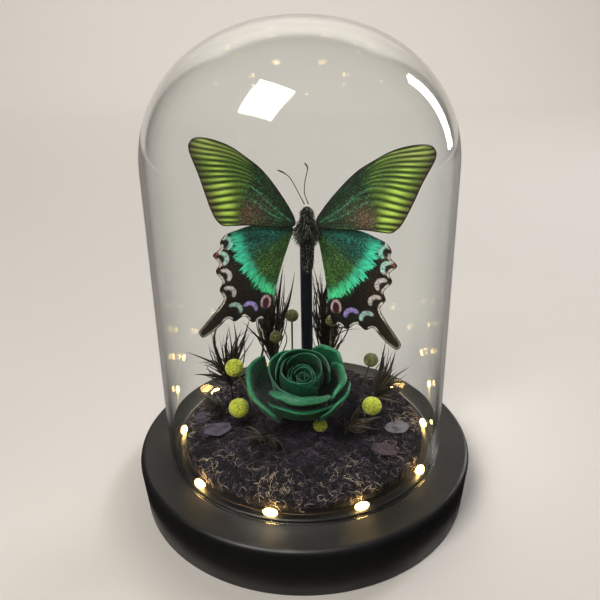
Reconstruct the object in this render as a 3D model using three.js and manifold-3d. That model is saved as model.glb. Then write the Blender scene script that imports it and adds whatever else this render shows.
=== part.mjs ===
// A mounted swallowtail butterfly over a preserved green rose, under a clear glass bell on a black
// round base. Millimetres, +Z up, origin at the centre of the base's underside, front towards -Y.
import * as THREE from "three";
import { mergeVertices } from "three/addons/utils/BufferGeometryUtils.js";
import Module from "manifold-3d";

const wasm = await Module();
wasm.setup();

// ---------------------------------------------------------------- driving dimensions
const GAP = 0.3; // clearance between two pieces that touch
const BASE = { height: 22.5, topRadius: 73, footRadius: 70.8, fillet: 2.4, chamfer: 0.7 };
const TRAY = { radius: 53, floor: 23.2, collarRadius: 56.2, collarTop: 23.9, chamfer: 0.4 };
const BATTERY = { width: 56, depth: 36, recess: 2.2, corner: 4, lift: 0.4 };
const SCREW = { radius: 2.4, inset: 6 };
const GLASS = { radius: 60, wall: 2.6, spring: 146.5, capHeight: 52.7, capPower: 2.1, lip: 0.9 };
const MOSS = { radius: 52.4, rim: 27.5, crown: 34.5, lump: 0.9, roots: 28 };
const POST = { x: 2, y: 12.8, radius: 2.55, top: 121 };
const BODY = { x: 2.6, y: 7, hinge: 119, tail: 99, crown: 127.6 };
const WING = { thickness: 0.8, dihedral: 15, pairGap: 0.25, rootClearance: 3.5 };
const LEFT_WINGS = { foreSweep: 7.6, hindSweep: 8.7, scale: 0.955, shift: 1.8 };
const ROSE = { x: -0.1, y: -8.2, z: 55.2, tilt: 18, stemRadius: 1.5 };
const PETAL = { thickness: 0.55, rollStart: 0.8, rollTurn: 160, wide: 70 };
const PETAL_FOOT = { first: -3.2, step: 0.95 }; // height in the rose, innermost petal first
const BUTTON_STEM = 0.55; // radius
const SPRIG = { stalk: 0.7, stalkEnd: 0.5, blade: 0.7 };
const LIGHTS = { ring: 55.3, height: 25.7, wireRadius: 0.4, beadLength: 6, beadRadius: 1.45 };

const RAD = Math.PI / 180;

// ---------------------------------------------------------------- finishes
function finish(color, roughness, metalness = 0) {
  return new THREE.MeshStandardMaterial({ color, roughness, metalness });
}
const FINISHES = {
  base: finish(0x17171a, 0.45),
  screw: finish(0x8d8f93, 0.35, 1),
  glass: new THREE.MeshStandardMaterial({
    color: 0xeef4f2,
    roughness: 0.03,
    transparent: true,
    opacity: 0.25,
  }),
  moss: finish(0x2b2330, 0.95),
  post: finish(0x0c0f1c, 0.4),
  insect: finish(0x15130f, 0.75),
  foreWing: finish(0x5e7a2a, 0.55),
  hindWing: finish(0x0e6a55, 0.5),
  rose: finish(0x11694a, 0.6),
  stem: finish(0x1c2a1a, 0.8),
  button: finish(0xc3c93a, 0.8),
  leaf: finish(0x14170f, 0.7),
  driedPetal: finish(0x4a3f4e, 0.75),
  wire: finish(0xb87a4a, 0.35, 1),
  bead: finish(0xfff0c4, 0.25),
};

// ---------------------------------------------------------------- solids and meshes
// A closed geometry as a manifold-3d solid, with its doubled vertices merged.
function solidOf(geometry) {
  const bare = geometry.index ? geometry.toNonIndexed() : geometry.clone();
  bare.deleteAttribute("normal");
  bare.deleteAttribute("uv");
  const merged = mergeVertices(bare, 1e-4);
  const corners = merged.index.array;
  const kept = [];
  for (let i = 0; i < corners.length; i += 3) {
    const [a, b, c] = [corners[i], corners[i + 1], corners[i + 2]];
    if (a !== b && b !== c && c !== a) kept.push(a, b, c);
  }
  const make = (triVerts) =>
    new wasm.Manifold(
      new wasm.Mesh({
        numProp: 3,
        vertProperties: merged.attributes.position.array,
        triVerts: new Uint32Array(triVerts),
      }),
    );
  const solid = make(kept);
  if (solid.volume() > 0) return solid;
  for (let i = 0; i < kept.length; i += 3) {
    [kept[i + 1], kept[i + 2]] = [kept[i + 2], kept[i + 1]];
  }
  return make(kept);
}

function geometryOf(solid) {
  const mesh = solid.getMesh();
  const geometry = new THREE.BufferGeometry();
  geometry.setAttribute("position", new THREE.BufferAttribute(mesh.vertProperties, 3));
  geometry.setIndex(new THREE.BufferAttribute(mesh.triVerts, 1));
  return geometry;
}

// The largest body of a solid that a cut may have left in several.
function largestBody(solid) {
  return solid.decompose().reduce((best, body) => (body.volume() > best.volume() ? body : best));
}

const display = new THREE.Group();

function add(name, solid, material) {
  const geometry = geometryOf(solid);
  geometry.computeVertexNormals();
  const mesh = new THREE.Mesh(geometry, material);
  mesh.name = name;
  display.add(mesh);
}

// A turned solid: profile points are [radius, height], running from the axis back to the axis or
// closing on themselves.
function turned(profile, segments) {
  const points = profile.map(([radius, height]) => new THREE.Vector2(radius, height));
  return new THREE.LatheGeometry(points, segments).rotateX(Math.PI / 2);
}

// A straight round bar between two points.
function bar(from, to, radius, sides, endRadius = radius) {
  const axis = new THREE.Vector3().subVectors(to, from);
  const geometry = new THREE.CylinderGeometry(endRadius, radius, axis.length(), sides);
  geometry.translate(0, axis.length() / 2, 0);
  const turn = new THREE.Quaternion().setFromUnitVectors(
    new THREE.Vector3(0, 1, 0),
    axis.normalize(),
  );
  return geometry.applyQuaternion(turn).translate(from.x, from.y, from.z);
}

// A round tube along a smooth curve through points.
function tube(points, radius, sides, steps) {
  const section = new THREE.Shape();
  for (let i = 0; i < sides; i += 1) {
    const angle = (i / sides) * 2 * Math.PI;
    const corner = [radius * Math.cos(angle), radius * Math.sin(angle)];
    if (i === 0) section.moveTo(...corner);
    else section.lineTo(...corner);
  }
  section.closePath();
  const path = new THREE.CatmullRomCurve3(points);
  return new THREE.ExtrudeGeometry(section, { steps, extrudePath: path, bevelEnabled: false });
}

function ellipsoid(centre, radii, across, down) {
  return new THREE.SphereGeometry(1, across, down)
    .scale(...radii)
    .translate(centre.x, centre.y, centre.z);
}

// A closed sheet of even thickness over the surface at(s, t), with s from -1 to 1 and t from 0 to 1.
function thickSheet(at, across, along, thickness) {
  const columnStep = 2 / across;
  const rowStep = 1 / along;
  const positions = [];
  const front = [];
  const back = [];
  for (let j = 0; j <= along; j += 1) {
    for (let i = 0; i <= across; i += 1) {
      const s = -1 + (2 * i) / across;
      const t = j / along;
      const middle = at(s, t);
      const sideways = at(Math.min(1, s + columnStep), t).sub(at(Math.max(-1, s - columnStep), t));
      const upwards = at(s, Math.min(1, t + rowStep)).sub(at(s, Math.max(0, t - rowStep)));
      const normal = sideways.cross(upwards).normalize();
      front.push(middle.clone().addScaledVector(normal, thickness / 2));
      back.push(middle.clone().addScaledVector(normal, -thickness / 2));
    }
  }
  front.concat(back).forEach((point) => positions.push(point.x, point.y, point.z));
  const row = across + 1;
  const half = front.length;
  const index = [];
  const quad = (a, b, c, d) => index.push(a, b, c, a, c, d);
  for (let j = 0; j < along; j += 1) {
    for (let i = 0; i < across; i += 1) {
      const k = j * row + i;
      quad(k, k + 1, k + row + 1, k + row);
      quad(half + k, half + k + row, half + k + row + 1, half + k + 1);
    }
  }
  for (let i = 0; i < across; i += 1) {
    const top = along * row + i;
    quad(i, half + i, half + i + 1, i + 1);
    quad(top, top + 1, half + top + 1, half + top);
  }
  for (let j = 0; j < along; j += 1) {
    const left = j * row;
    const right = left + across;
    quad(left, left + row, half + left + row, half + left);
    quad(right, half + right, half + right + row, right + row);
  }
  const geometry = new THREE.BufferGeometry();
  geometry.setAttribute("position", new THREE.Float32BufferAttribute(positions, 3));
  geometry.setIndex(index);
  return geometry;
}

function vector(x, y, z) {
  return new THREE.Vector3(x, y, z);
}

function roundedRectangle(width, height, corner) {
  const shape = new THREE.Shape();
  const [x, y] = [width / 2, height / 2];
  shape.moveTo(corner - x, -y);
  shape.lineTo(x - corner, -y);
  shape.absarc(x - corner, corner - y, corner, -Math.PI / 2, 0);
  shape.lineTo(x, y - corner);
  shape.absarc(x - corner, y - corner, corner, 0, Math.PI / 2);
  shape.lineTo(corner - x, y);
  shape.absarc(corner - x, y - corner, corner, Math.PI / 2, Math.PI);
  shape.lineTo(-x, corner - y);
  shape.absarc(corner - x, corner - y, corner, Math.PI, 1.5 * Math.PI);
  return shape;
}

function plate(shape, from, to, curveSegments = 3) {
  const geometry = new THREE.ExtrudeGeometry(shape, {
    depth: to - from,
    bevelEnabled: false,
    curveSegments,
  });
  return geometry.translate(0, 0, from);
}

// ---------------------------------------------------------------- base
// A moulded disc: a slightly tapered side, a rounded top edge, and a collar that centres the bell.
function buildBase() {
  const segments = 36;
  const { height, topRadius, footRadius, fillet, chamfer } = BASE;
  const profile = [
    [0, 0],
    [footRadius, 0],
    [footRadius + chamfer, chamfer],
  ];
  for (let i = 0; i <= 3; i += 1) {
    const angle = (i / 3) * 90 * RAD;
    profile.push([
      topRadius - fillet + fillet * Math.cos(angle),
      height - fillet + fillet * Math.sin(angle),
    ]);
  }
  profile.push([TRAY.collarRadius, height]);
  profile.push([TRAY.collarRadius, TRAY.collarTop - TRAY.chamfer]);
  profile.push([TRAY.collarRadius - TRAY.chamfer, TRAY.collarTop]);
  profile.push([TRAY.radius, TRAY.collarTop]);
  profile.push([TRAY.radius, TRAY.floor]);
  profile.push([0, TRAY.floor]);
  const recess = plate(roundedRectangle(BATTERY.width, BATTERY.depth, BATTERY.corner), -1, BATTERY.recess);
  add("base", solidOf(turned(profile, segments)).subtract(solidOf(recess)), FINISHES.base);
}

function buildBatteryCover() {
  const outline = roundedRectangle(
    BATTERY.width - 2 * GAP,
    BATTERY.depth - 2 * GAP,
    BATTERY.corner - GAP,
  );
  const screwX = BATTERY.width / 2 - SCREW.inset;
  const low = BATTERY.lift;
  const high = BATTERY.recess - GAP;
  const seat = bar(vector(screwX, 0, -1), vector(screwX, 0, 3), SCREW.radius + GAP, 12);
  add("battery_cover", solidOf(plate(outline, low, high)).subtract(solidOf(seat)), FINISHES.base);
  const head = bar(vector(screwX, 0, low), vector(screwX, 0, high), SCREW.radius, 12);
  add("battery_cover_screw", solidOf(head), FINISHES.screw);
}

// ---------------------------------------------------------------- glass bell
// Half the bell's section at one offset from its outer face: a quarter of a superellipse.
function capPoint(angle, inset) {
  const sharpness = 2 / GLASS.capPower;
  return [
    (GLASS.radius - inset) * Math.cos(angle) ** sharpness,
    GLASS.spring + (GLASS.capHeight - inset) * Math.sin(angle) ** sharpness,
  ];
}

function buildBell() {
  const segments = 32;
  const rings = 7;
  const foot = BASE.height + GAP;
  const { radius, wall, spring, capHeight, lip } = GLASS;
  const outer = [];
  const inner = [];
  for (let i = 0; i <= rings; i += 1) {
    const angle = (i / rings) * 90 * RAD;
    outer.push(i === rings ? [0, spring + capHeight] : capPoint(angle, 0));
    inner.push(i === rings ? [0, spring + capHeight - wall] : capPoint(angle, wall));
  }
  const profile = [
    [radius - wall, foot + lip],
    [radius - wall + lip, foot],
    [radius - lip, foot],
    [radius, foot + lip],
    ...outer,
    ...inner.reverse(),
    [radius - wall, foot + lip],
  ];
  add("glass_dome", solidOf(turned(profile, segments)), FINISHES.glass);
}

// ---------------------------------------------------------------- moss bed
function mossHeight(x, y) {
  const radius = Math.hypot(x, y);
  const rise = Math.cos(Math.min(1, radius / MOSS.radius) * 90 * RAD) ** 0.8;
  const ripple = Math.sin(0.23 * x + 1.1) * Math.sin(0.21 * y + 0.4) + Math.sin(0.37 * (x + y));
  return MOSS.rim + (MOSS.crown - MOSS.rim) * rise + MOSS.lump * ripple * rise;
}

const mossSockets = [];

// Keeps a hole in the moss for a stem that is pushed into it.
function pushIntoMoss(x, y, radius, bottom, sides = 4) {
  const clearance = (radius + GAP) / Math.cos(Math.PI / sides);
  const socket = bar(vector(x, y, bottom - GAP), vector(x, y, MOSS.crown + 6), clearance, sides);
  mossSockets.push(solidOf(socket));
}

function buildMoss() {
  const segments = 24;
  const rings = 5;
  const bottom = TRAY.floor + GAP;
  const profile = [[0, bottom], [MOSS.radius - 0.6, bottom]];
  for (let i = 0; i <= rings; i += 1) {
    profile.push([MOSS.radius * (1 - i / rings) ** 0.8, bottom + 1]);
  }
  const geometry = turned(profile, segments);
  const points = geometry.getAttribute("position");
  for (let i = 0; i < points.count; i += 1) {
    if (points.getZ(i) > bottom + 0.5) {
      points.setZ(i, mossHeight(points.getX(i), points.getY(i)));
    }
  }
  const bed = mossSockets.reduce((solid, socket) => solid.subtract(socket), solidOf(geometry));
  add("moss_bed", largestBody(bed), FINISHES.moss);
}

// ---------------------------------------------------------------- post and butterfly
function buildPost() {
  const bottom = TRAY.floor + 2 * GAP;
  const shaft = bar(vector(POST.x, POST.y, bottom), vector(POST.x, POST.y, POST.top), POST.radius, 12);
  pushIntoMoss(POST.x, POST.y, POST.radius, bottom, 12);
  add("post", solidOf(shaft), FINISHES.post);
}

// Head, thorax and abdomen, turned about the body's own upright axis: [radius, height over the tail].
function buildBody() {
  const length = BODY.crown - BODY.tail;
  const profile = [
    [0, 0],
    [1.1, 0.5],
    [2.0, 3],
    [2.4, 7],
    [2.5, 11],
    [2.0, 13.6],
    [2.9, 16.5],
    [3.0, 19.5],
    [2.5, 22.6],
    [1.5, 24.2],
    [1.9, 25.6],
    [1.8, 27],
    [1.0, length - 0.2],
    [0, length],
  ];
  const body = turned(profile, 12).translate(BODY.x, BODY.y, BODY.tail);
  add("butterfly_body", solidOf(body), FINISHES.insect);
}

function buildAntennae() {
  const base = BODY.crown - 0.2;
  const lift = 1.2;
  const routes = {
    antenna_left: [
      [1.6, 6.4, base],
      [-0.4, 6.2, 131.5],
      [-2.4, 6, 135.5],
      [-4, 5.8, 138.4],
      [-6.3, 5.6, 140.4],
      [-8.8, 5.4, 141.6],
    ],
    antenna_right: [
      [3.2, 6.4, base],
      [1.7, 6, 132],
      [1.9, 5.7, 136.4],
      [2.6, 5.4, 139.8],
      [3, 5.1, 142.6],
      [1.9, 4.9, 144.3],
    ],
  };
  for (const [name, route] of Object.entries(routes)) {
    const points = route.map(([x, y, z]) => vector(x, y, z + lift));
    add(name, solidOf(tube(points, 0.35, 4, 11)), FINISHES.insect);
  }
}

// Wing outlines in the wing's plane, from the hinge: outwards, then up. They are the right-hand pair.
const FORE_OUTLINE = [
  [3.7, 3.2],
  [10.1, 12.6],
  [20.1, 23.6],
  [26.5, 28],
  [33, 31.8],
  [38.1, 33.7],
  [43.5, 34.7],
  [48, 34.4],
  [49.9, 32.3],
  [49.9, 29.6],
  [48.5, 26.1],
  [46, 20.8],
  [41.9, 10.8],
  [39.8, 6.1],
  [37.4, 2],
  [34.4, -0.4],
  [30.2, -0.4],
  [22.2, 0],
  [12.8, -0.5],
  [3.7, 0.5],
];
const HIND_OUTLINE = [
  [3.8, -0.8],
  [12, -0.2],
  [22.2, -0.8],
  [28, -3.1],
  [32.8, -5.4],
  [34.6, -8.4],
  [34.2, -11.2],
  [37.1, -14.6],
  [34.1, -18.2],
  [35.3, -21.8],
  [32, -26.4],
  [33, -30],
  [30.8, -34],
  [33.8, -40],
  [37.9, -46],
  [40.3, -50.4],
  [38.6, -52.7],
  [35.4, -51],
  [31, -46.8],
  [28, -43.4],
  [24.8, -44.8],
  [21, -42.2],
  [16.7, -45.1],
  [13.2, -43],
  [10.8, -43.4],
  [9.4, -38],
  [8, -27.4],
  [6.2, -15],
  [4.2, -5],
];

// One wing as a flat plate at its dihedral. side is 1 for the right wing and -1 for the left.
function wing({ outline, side, sweep, scale, shift, back, steps }) {
  const corner = outline.map(([out, up]) => vector(out, up, 0));
  const loop = new THREE.CatmullRomCurve3(corner, true, "centripetal").getPoints(steps).slice(0, -1);
  const [cos, sin] = [Math.cos(sweep * RAD), Math.sin(sweep * RAD)];
  const shape = new THREE.Shape(
    loop.map((point) => {
      const out = shift + scale * (cos * point.x - sin * point.y);
      const up = scale * (sin * point.x + cos * point.y);
      return new THREE.Vector2(side * Math.max(out, WING.rootClearance), up);
    }),
  );
  const geometry = plate(shape, -back - WING.thickness, -back);
  const lean = WING.dihedral * RAD;
  const outwards = vector(Math.cos(lean), -side * Math.sin(lean), 0);
  const upwards = vector(0, 0, 1);
  const basis = new THREE.Matrix4().makeBasis(
    outwards,
    upwards,
    new THREE.Vector3().crossVectors(outwards, upwards),
  );
  return geometry.applyMatrix4(basis).translate(BODY.x, BODY.y, BODY.hinge);
}

function buildWings() {
  const { foreSweep, hindSweep, scale, shift } = LEFT_WINGS;
  const fore = { outline: FORE_OUTLINE, back: 0, steps: 38 };
  const hind = { outline: HIND_OUTLINE, back: WING.thickness + WING.pairGap, steps: 58 };
  const right = { side: 1, sweep: 0, scale: 1, shift: 0 };
  const left = { side: -1, scale, shift };
  add("forewing_right", solidOf(wing({ ...fore, ...right })), FINISHES.foreWing);
  add("forewing_left", solidOf(wing({ ...fore, ...left, sweep: foreSweep })), FINISHES.foreWing);
  add("hindwing_right", solidOf(wing({ ...hind, ...right })), FINISHES.hindWing);
  add("hindwing_left", solidOf(wing({ ...hind, ...left, sweep: hindSweep })), FINISHES.hindWing);
}

// ---------------------------------------------------------------- rose
// Petals from the inside out: azimuth and half-width in degrees, radius, height of the rim, and the
// radius of the roll that the rim ends in.
const PETALS = [
  [80, 130, 5.25, 5.2, 0.4],
  [250, 120, 6.65, 6.4, 0.45],
  [30, 115, 8.5, 9.4, 0.5],
  [200, 105, 10, 9.2, 0.6],
  [95, 100, 11.65, 9.6, 0.9],
  [190, 80, 13.05, 9, 0.5],
  [263, 50, 14.6, 10, 2.6],
  [353, 42, 15.2, 6.2, 1.4],
  [48, 27, 17.1, 6.4, 1.2],
  [270, 56, 17.1, 3, 0.9],
  [326, 36, 18.6, 3, 0.7],
  [190, 50, 21.2, 5.4, 1.3],
];

// A point of petal number i, in the rose's own frame with its axis along +Z.
function petalPoint(i, s, t) {
  const [azimuth, halfWidth, radius, top, roll] = PETALS[i];
  const bottom = PETAL_FOOT.first - PETAL_FOOT.step * i;
  const rise = Math.max(0, Math.min(1, t / PETAL.rollStart));
  const rounded = rise * (1 - 0.2 * Math.abs(s) ** 3);
  const bulge = Math.sin(Math.min(1, rounded / 0.62) * 90 * RAD);
  const flare = i < 5 ? -0.12 : 0.05;
  const lean = 1 + flare * Math.max(0, rounded - 0.62) * 2;
  const spread = 0.4 + 0.6 * Math.sin(Math.min(1, rounded / 0.5) * 90 * RAD);
  const angle = (azimuth + s * halfWidth * spread) * RAD;
  const turn = Math.max(0, (t - PETAL.rollStart) / (1 - PETAL.rollStart)) * PETAL.rollTurn * RAD;
  const curl = roll * (1 - 0.55 * s * s);
  const out = radius * (0.2 + 0.8 * bulge) * lean + curl * (1 - Math.cos(turn));
  const height = bottom + (top - roll - bottom) * rounded + curl * Math.sin(turn);
  return vector(out * Math.cos(angle), out * Math.sin(angle), height);
}

function placeRose(geometry) {
  return geometry.rotateX(ROSE.tilt * RAD).translate(ROSE.x, ROSE.y, ROSE.z);
}

function buildRose() {
  const heart = turned(
    [
      [0, -2.4],
      [1.6, -1.4],
      [3, 2],
      [2.8, 4.2],
      [1.6, 5.6],
      [0, 6],
    ],
    10,
  );
  add("rose_heart", solidOf(placeRose(heart)), FINISHES.rose);
  PETALS.forEach((petal, i) => {
    const at = (s, t) => petalPoint(i, s, t);
    const across = petal[1] > PETAL.wide ? 5 : 4;
    const sheet = placeRose(thickSheet(at, across, 4, PETAL.thickness));
    add(`rose_petal_${i + 1}`, solidOf(sheet), FINISHES.rose);
  });
  const receptacle = PETAL_FOOT.first - PETAL_FOOT.step * PETALS.length - 2 * PETAL.thickness;
  const under = vector(0, 0, receptacle)
    .applyAxisAngle(vector(1, 0, 0), ROSE.tilt * RAD)
    .add(vector(ROSE.x, ROSE.y, ROSE.z));
  const route = [
    vector(under.x, under.y, MOSS.roots),
    vector(under.x, under.y, MOSS.crown + 1.5),
    under,
  ];
  const stem = tube(route, ROSE.stemRadius, 8, 6);
  pushIntoMoss(under.x, under.y, ROSE.stemRadius, MOSS.roots, 6);
  add("rose_stem", solidOf(stem), FINISHES.stem);
}

// ---------------------------------------------------------------- button flowers
// Centre, radius and where its stem stands in the moss.
const BUTTONS = [
  { centre: [-30.4, 4, 55.9], radius: 4.2, foot: [-24, 8] },
  { centre: [-28, -8, 42.9], radius: 4.5, foot: [-26, -4] },
  { centre: [29.4, -8, 42.7], radius: 4.3, foot: [27, -4] },
  { centre: [6.8, -14, 37.4], radius: 3.1, foot: [8, -12] },
  { centre: [-11.8, 13, 66.2], radius: 3, foot: [-12, 20] },
  { centre: [-4.6, 15.5, 75.3], radius: 3.1, foot: [-5, 22] },
  { centre: [13.3, 16, 72.2], radius: 2.8, foot: [12, 22] },
  { centre: [30.4, 8, 56.4], radius: 3.4, foot: [26, 10] },
];

function buildButtons() {
  BUTTONS.forEach(({ centre, radius, foot }, i) => {
    const head = vector(...centre);
    const root = vector(...foot, MOSS.roots);
    const rise = vector(...foot, MOSS.crown + 1.5);
    const squash = [radius, radius, radius * 0.92];
    const ball = solidOf(ellipsoid(head, squash, 8, 5));
    const stalk = solidOf(tube([root, rise, head], BUTTON_STEM, 4, 4));
    pushIntoMoss(...foot, BUTTON_STEM + 0.2, MOSS.roots);
    add(`button_flower_${i + 1}`, ball.add(stalk), FINISHES.button);
  });
}

// ---------------------------------------------------------------- foliage
// Sprigs of narrow blades: foot in the moss, head of the stalk, and the blade tips.
const SPRIGS = [
  {
    foot: [-32, 10],
    head: [-33.5, 9.5, 50],
    tips: [[-40, 6, 73], [-35.5, 9, 76], [-30.5, 12, 75.5], [-51.5, 6, 63], [-48, 2, 54], [-27, 12, 71]],
  },
  {
    foot: [-14, 24],
    head: [-14, 24, 60],
    tips: [[-22, 20, 78], [-18, 24, 84], [-13, 26, 90], [-8, 24, 96], [-27, 19, 71]],
  },
  {
    foot: [12, 27],
    head: [11, 26, 60],
    tips: [[5, 25, 96], [9, 26, 100], [14, 24, 95], [20, 21, 84], [24, 20, 76]],
  },
  {
    foot: [33, 4],
    head: [32, 2, 45],
    tips: [[45, -2, 48], [47, 2, 56], [44, -6, 42], [41, 6, 62], [37, 9, 66], [48, 6, 45]],
  },
  {
    foot: [18, -14],
    head: [19, -14.5, 38],
    tips: [[23, -22, 40], [30, -20, 39], [33, -16, 42], [17, -23, 38], [24, -13, 47]],
  },
  {
    foot: [-17, -19],
    head: [-17, -19.5, 36],
    tips: [[-24, -18, 40], [-26, -24, 38], [-18, -28, 39], [-10, -27, 39], [-8, -33, 37]],
  },
  {
    foot: [-36, 2],
    head: [-36.5, 1, 38],
    tips: [[-47, -2, 42], [-49, 4, 44], [-44, 9, 42], [-45, -8, 40], [-38, -6, 44]],
  },
];

function buildSprigs() {
  SPRIGS.forEach(({ foot, head, tips }, i) => {
    const root = vector(...foot, MOSS.roots);
    const crown = vector(...head);
    const stalk = bar(root, crown, SPRIG.stalk, 4, SPRIG.stalkEnd);
    pushIntoMoss(...foot, SPRIG.stalk + 0.2, MOSS.roots);
    const blades = tips.map((tip, k) => {
      const start = crown.clone().lerp(root, 0.03 + 0.055 * k);
      return solidOf(bar(start, vector(...tip), SPRIG.blade, 3, 0));
    });
    const sprig = blades.reduce((solid, blade) => solid.add(blade), solidOf(stalk));
    add(`leaf_sprig_${i + 1}`, largestBody(sprig), FINISHES.leaf);
  });
}

// Loose dried petals that lie on the moss: centre, heading, length and width.
const DRIED_PETALS = [
  { at: [-37.5, -11], heading: 20, length: 12, width: 10 },
  { at: [-45.5, 1], heading: 80, length: 9, width: 8 },
  { at: [33, -26], heading: -30, length: 11, width: 8 },
  { at: [40.5, -10], heading: 15, length: 11, width: 8.5 },
];

function buildDriedPetals() {
  DRIED_PETALS.forEach(({ at, heading, length, width }, i) => {
    const lift = mossHeight(...at) + 2.2;
    const cup = (s, t) => {
      const along = (t - 0.5) * length;
      const half = (width / 2) * (0.35 + 0.65 * Math.sin(Math.min(1, Math.max(0, t)) * 180 * RAD));
      return vector(along, s * half, 0.5 * s * s + 0.012 * along * along);
    };
    const petal = thickSheet(cup, 3, 4, 0.5)
      .rotateZ(heading * RAD)
      .translate(at[0], at[1], lift);
    add(`dried_petal_${i + 1}`, solidOf(petal), FINISHES.driedPetal);
  });
}

// ---------------------------------------------------------------- string of lights
// Azimuths of the beads in degrees, with 0 at +X and -90 at the front.
const BEAD_AZIMUTHS = [-139, -104, -67.5, -33, 3, 38, 73, 108, 143, 179];

function onRing(azimuth, radius = LIGHTS.ring) {
  return vector(radius * Math.cos(azimuth * RAD), radius * Math.sin(azimuth * RAD), LIGHTS.height);
}

function buildLights() {
  const steps = 48;
  const first = -170;
  const last = 178;
  const route = [];
  for (let i = 0; i <= steps; i += 1) {
    route.push(onRing(first + ((last - first) * i) / steps));
  }
  add("light_wire", solidOf(tube(route, LIGHTS.wireRadius, 4, steps)), FINISHES.wire);
  const { beadLength, beadRadius, wireRadius } = LIGHTS;
  BEAD_AZIMUTHS.forEach((azimuth, i) => {
    const centre = onRing(azimuth);
    const drop = new THREE.SphereGeometry(1, 6, 4)
      .rotateX(Math.PI / 2)
      .scale(beadRadius, beadLength / 2, beadRadius)
      .rotateZ(azimuth * RAD)
      .translate(centre.x, centre.y, centre.z);
    const reach = vector(-Math.sin(azimuth * RAD), Math.cos(azimuth * RAD), 0).multiplyScalar(beadLength);
    const bore = bar(centre.clone().sub(reach), centre.clone().add(reach), wireRadius + GAP, 4);
    add(`light_bead_${i + 1}`, solidOf(drop).subtract(solidOf(bore)), FINISHES.bead);
  });
}

buildBase();
buildBatteryCover();
buildBell();
buildPost();
buildBody();
buildAntennae();
buildWings();
buildRose();
buildButtons();
buildSprigs();
buildDriedPetals();
buildMoss();
buildLights();

export default display;
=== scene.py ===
"""A mounted swallowtail butterfly over a preserved green rose, under a glass bell with bead lights.

Sizes in the code are in millimetres and are turned into metres where a mesh is made. Only the stage,
with its lamps and camera, is in metres. The frame has +Z up, the front towards -Y and the origin at the
centre of the base's underside.
"""

import math

import bpy
import numpy as np
from mathutils import Matrix, Vector
from mathutils.geometry import delaunay_2d_cdt


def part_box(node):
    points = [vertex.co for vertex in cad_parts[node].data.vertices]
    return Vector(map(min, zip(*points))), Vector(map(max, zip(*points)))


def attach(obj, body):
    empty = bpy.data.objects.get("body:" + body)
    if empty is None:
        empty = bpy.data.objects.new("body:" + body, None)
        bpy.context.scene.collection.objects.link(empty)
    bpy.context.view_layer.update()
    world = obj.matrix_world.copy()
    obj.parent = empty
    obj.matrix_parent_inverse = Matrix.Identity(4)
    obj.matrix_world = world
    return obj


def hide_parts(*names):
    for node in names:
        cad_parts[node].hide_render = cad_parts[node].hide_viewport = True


bl_info = {
    "name": "Butterfly in a glass bell",
    "version": (1, 0, 0),
    "blender": (4, 5, 0),
    "location": "View3D > Sidebar > Glass Bell",
    "description": "Builds a mounted butterfly and a preserved rose under a lit glass bell",
    "category": "Add Mesh",
}

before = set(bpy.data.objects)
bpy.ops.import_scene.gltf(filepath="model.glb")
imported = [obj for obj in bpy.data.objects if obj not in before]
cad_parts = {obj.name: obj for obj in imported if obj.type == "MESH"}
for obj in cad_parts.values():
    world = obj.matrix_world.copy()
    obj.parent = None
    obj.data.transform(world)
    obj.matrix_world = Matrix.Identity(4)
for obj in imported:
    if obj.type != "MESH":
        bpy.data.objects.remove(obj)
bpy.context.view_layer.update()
MM = 0.001


# ---------------------------------------------------------------- sizes and colours a user may change
def linear(value):
    """The linear colour of an sRGB hex value, with full cover."""
    parts = [int(value[i : i + 2], 16) / 255 for i in (1, 3, 5)]
    return (*(v / 12.92 if v <= 0.04045 else ((v + 0.055) / 1.055) ** 2.4 for v in parts), 1.0)


class BellSizes(bpy.types.PropertyGroup):
    """Sizes of the finished pieces"""

    glass_wall: bpy.props.FloatProperty(
        name="Glass wall",
        description="Thickness of the bell's wall",
        default=2.2 * MM,
        min=0.01 * MM,
        unit="LENGTH",
    )
    wing_thickness: bpy.props.FloatProperty(
        name="Wing thickness",
        description="Thickness of a wing with its scales",
        default=0.24 * MM,
        min=0.01 * MM,
        unit="LENGTH",
    )
    petal_thickness: bpy.props.FloatProperty(
        name="Petal thickness",
        description="Thickness of a rose petal",
        default=0.3 * MM,
        min=0.01 * MM,
        unit="LENGTH",
    )
    fibre_length: bpy.props.FloatProperty(
        name="Moss fibre",
        description="Length of the longest moss fibres",
        default=6.5 * MM,
        min=0.01 * MM,
        unit="LENGTH",
    )
    needle_width: bpy.props.FloatProperty(
        name="Leaf width",
        description="Width of a narrow leaf",
        default=1.1 * MM,
        min=0.01 * MM,
        unit="LENGTH",
    )


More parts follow.
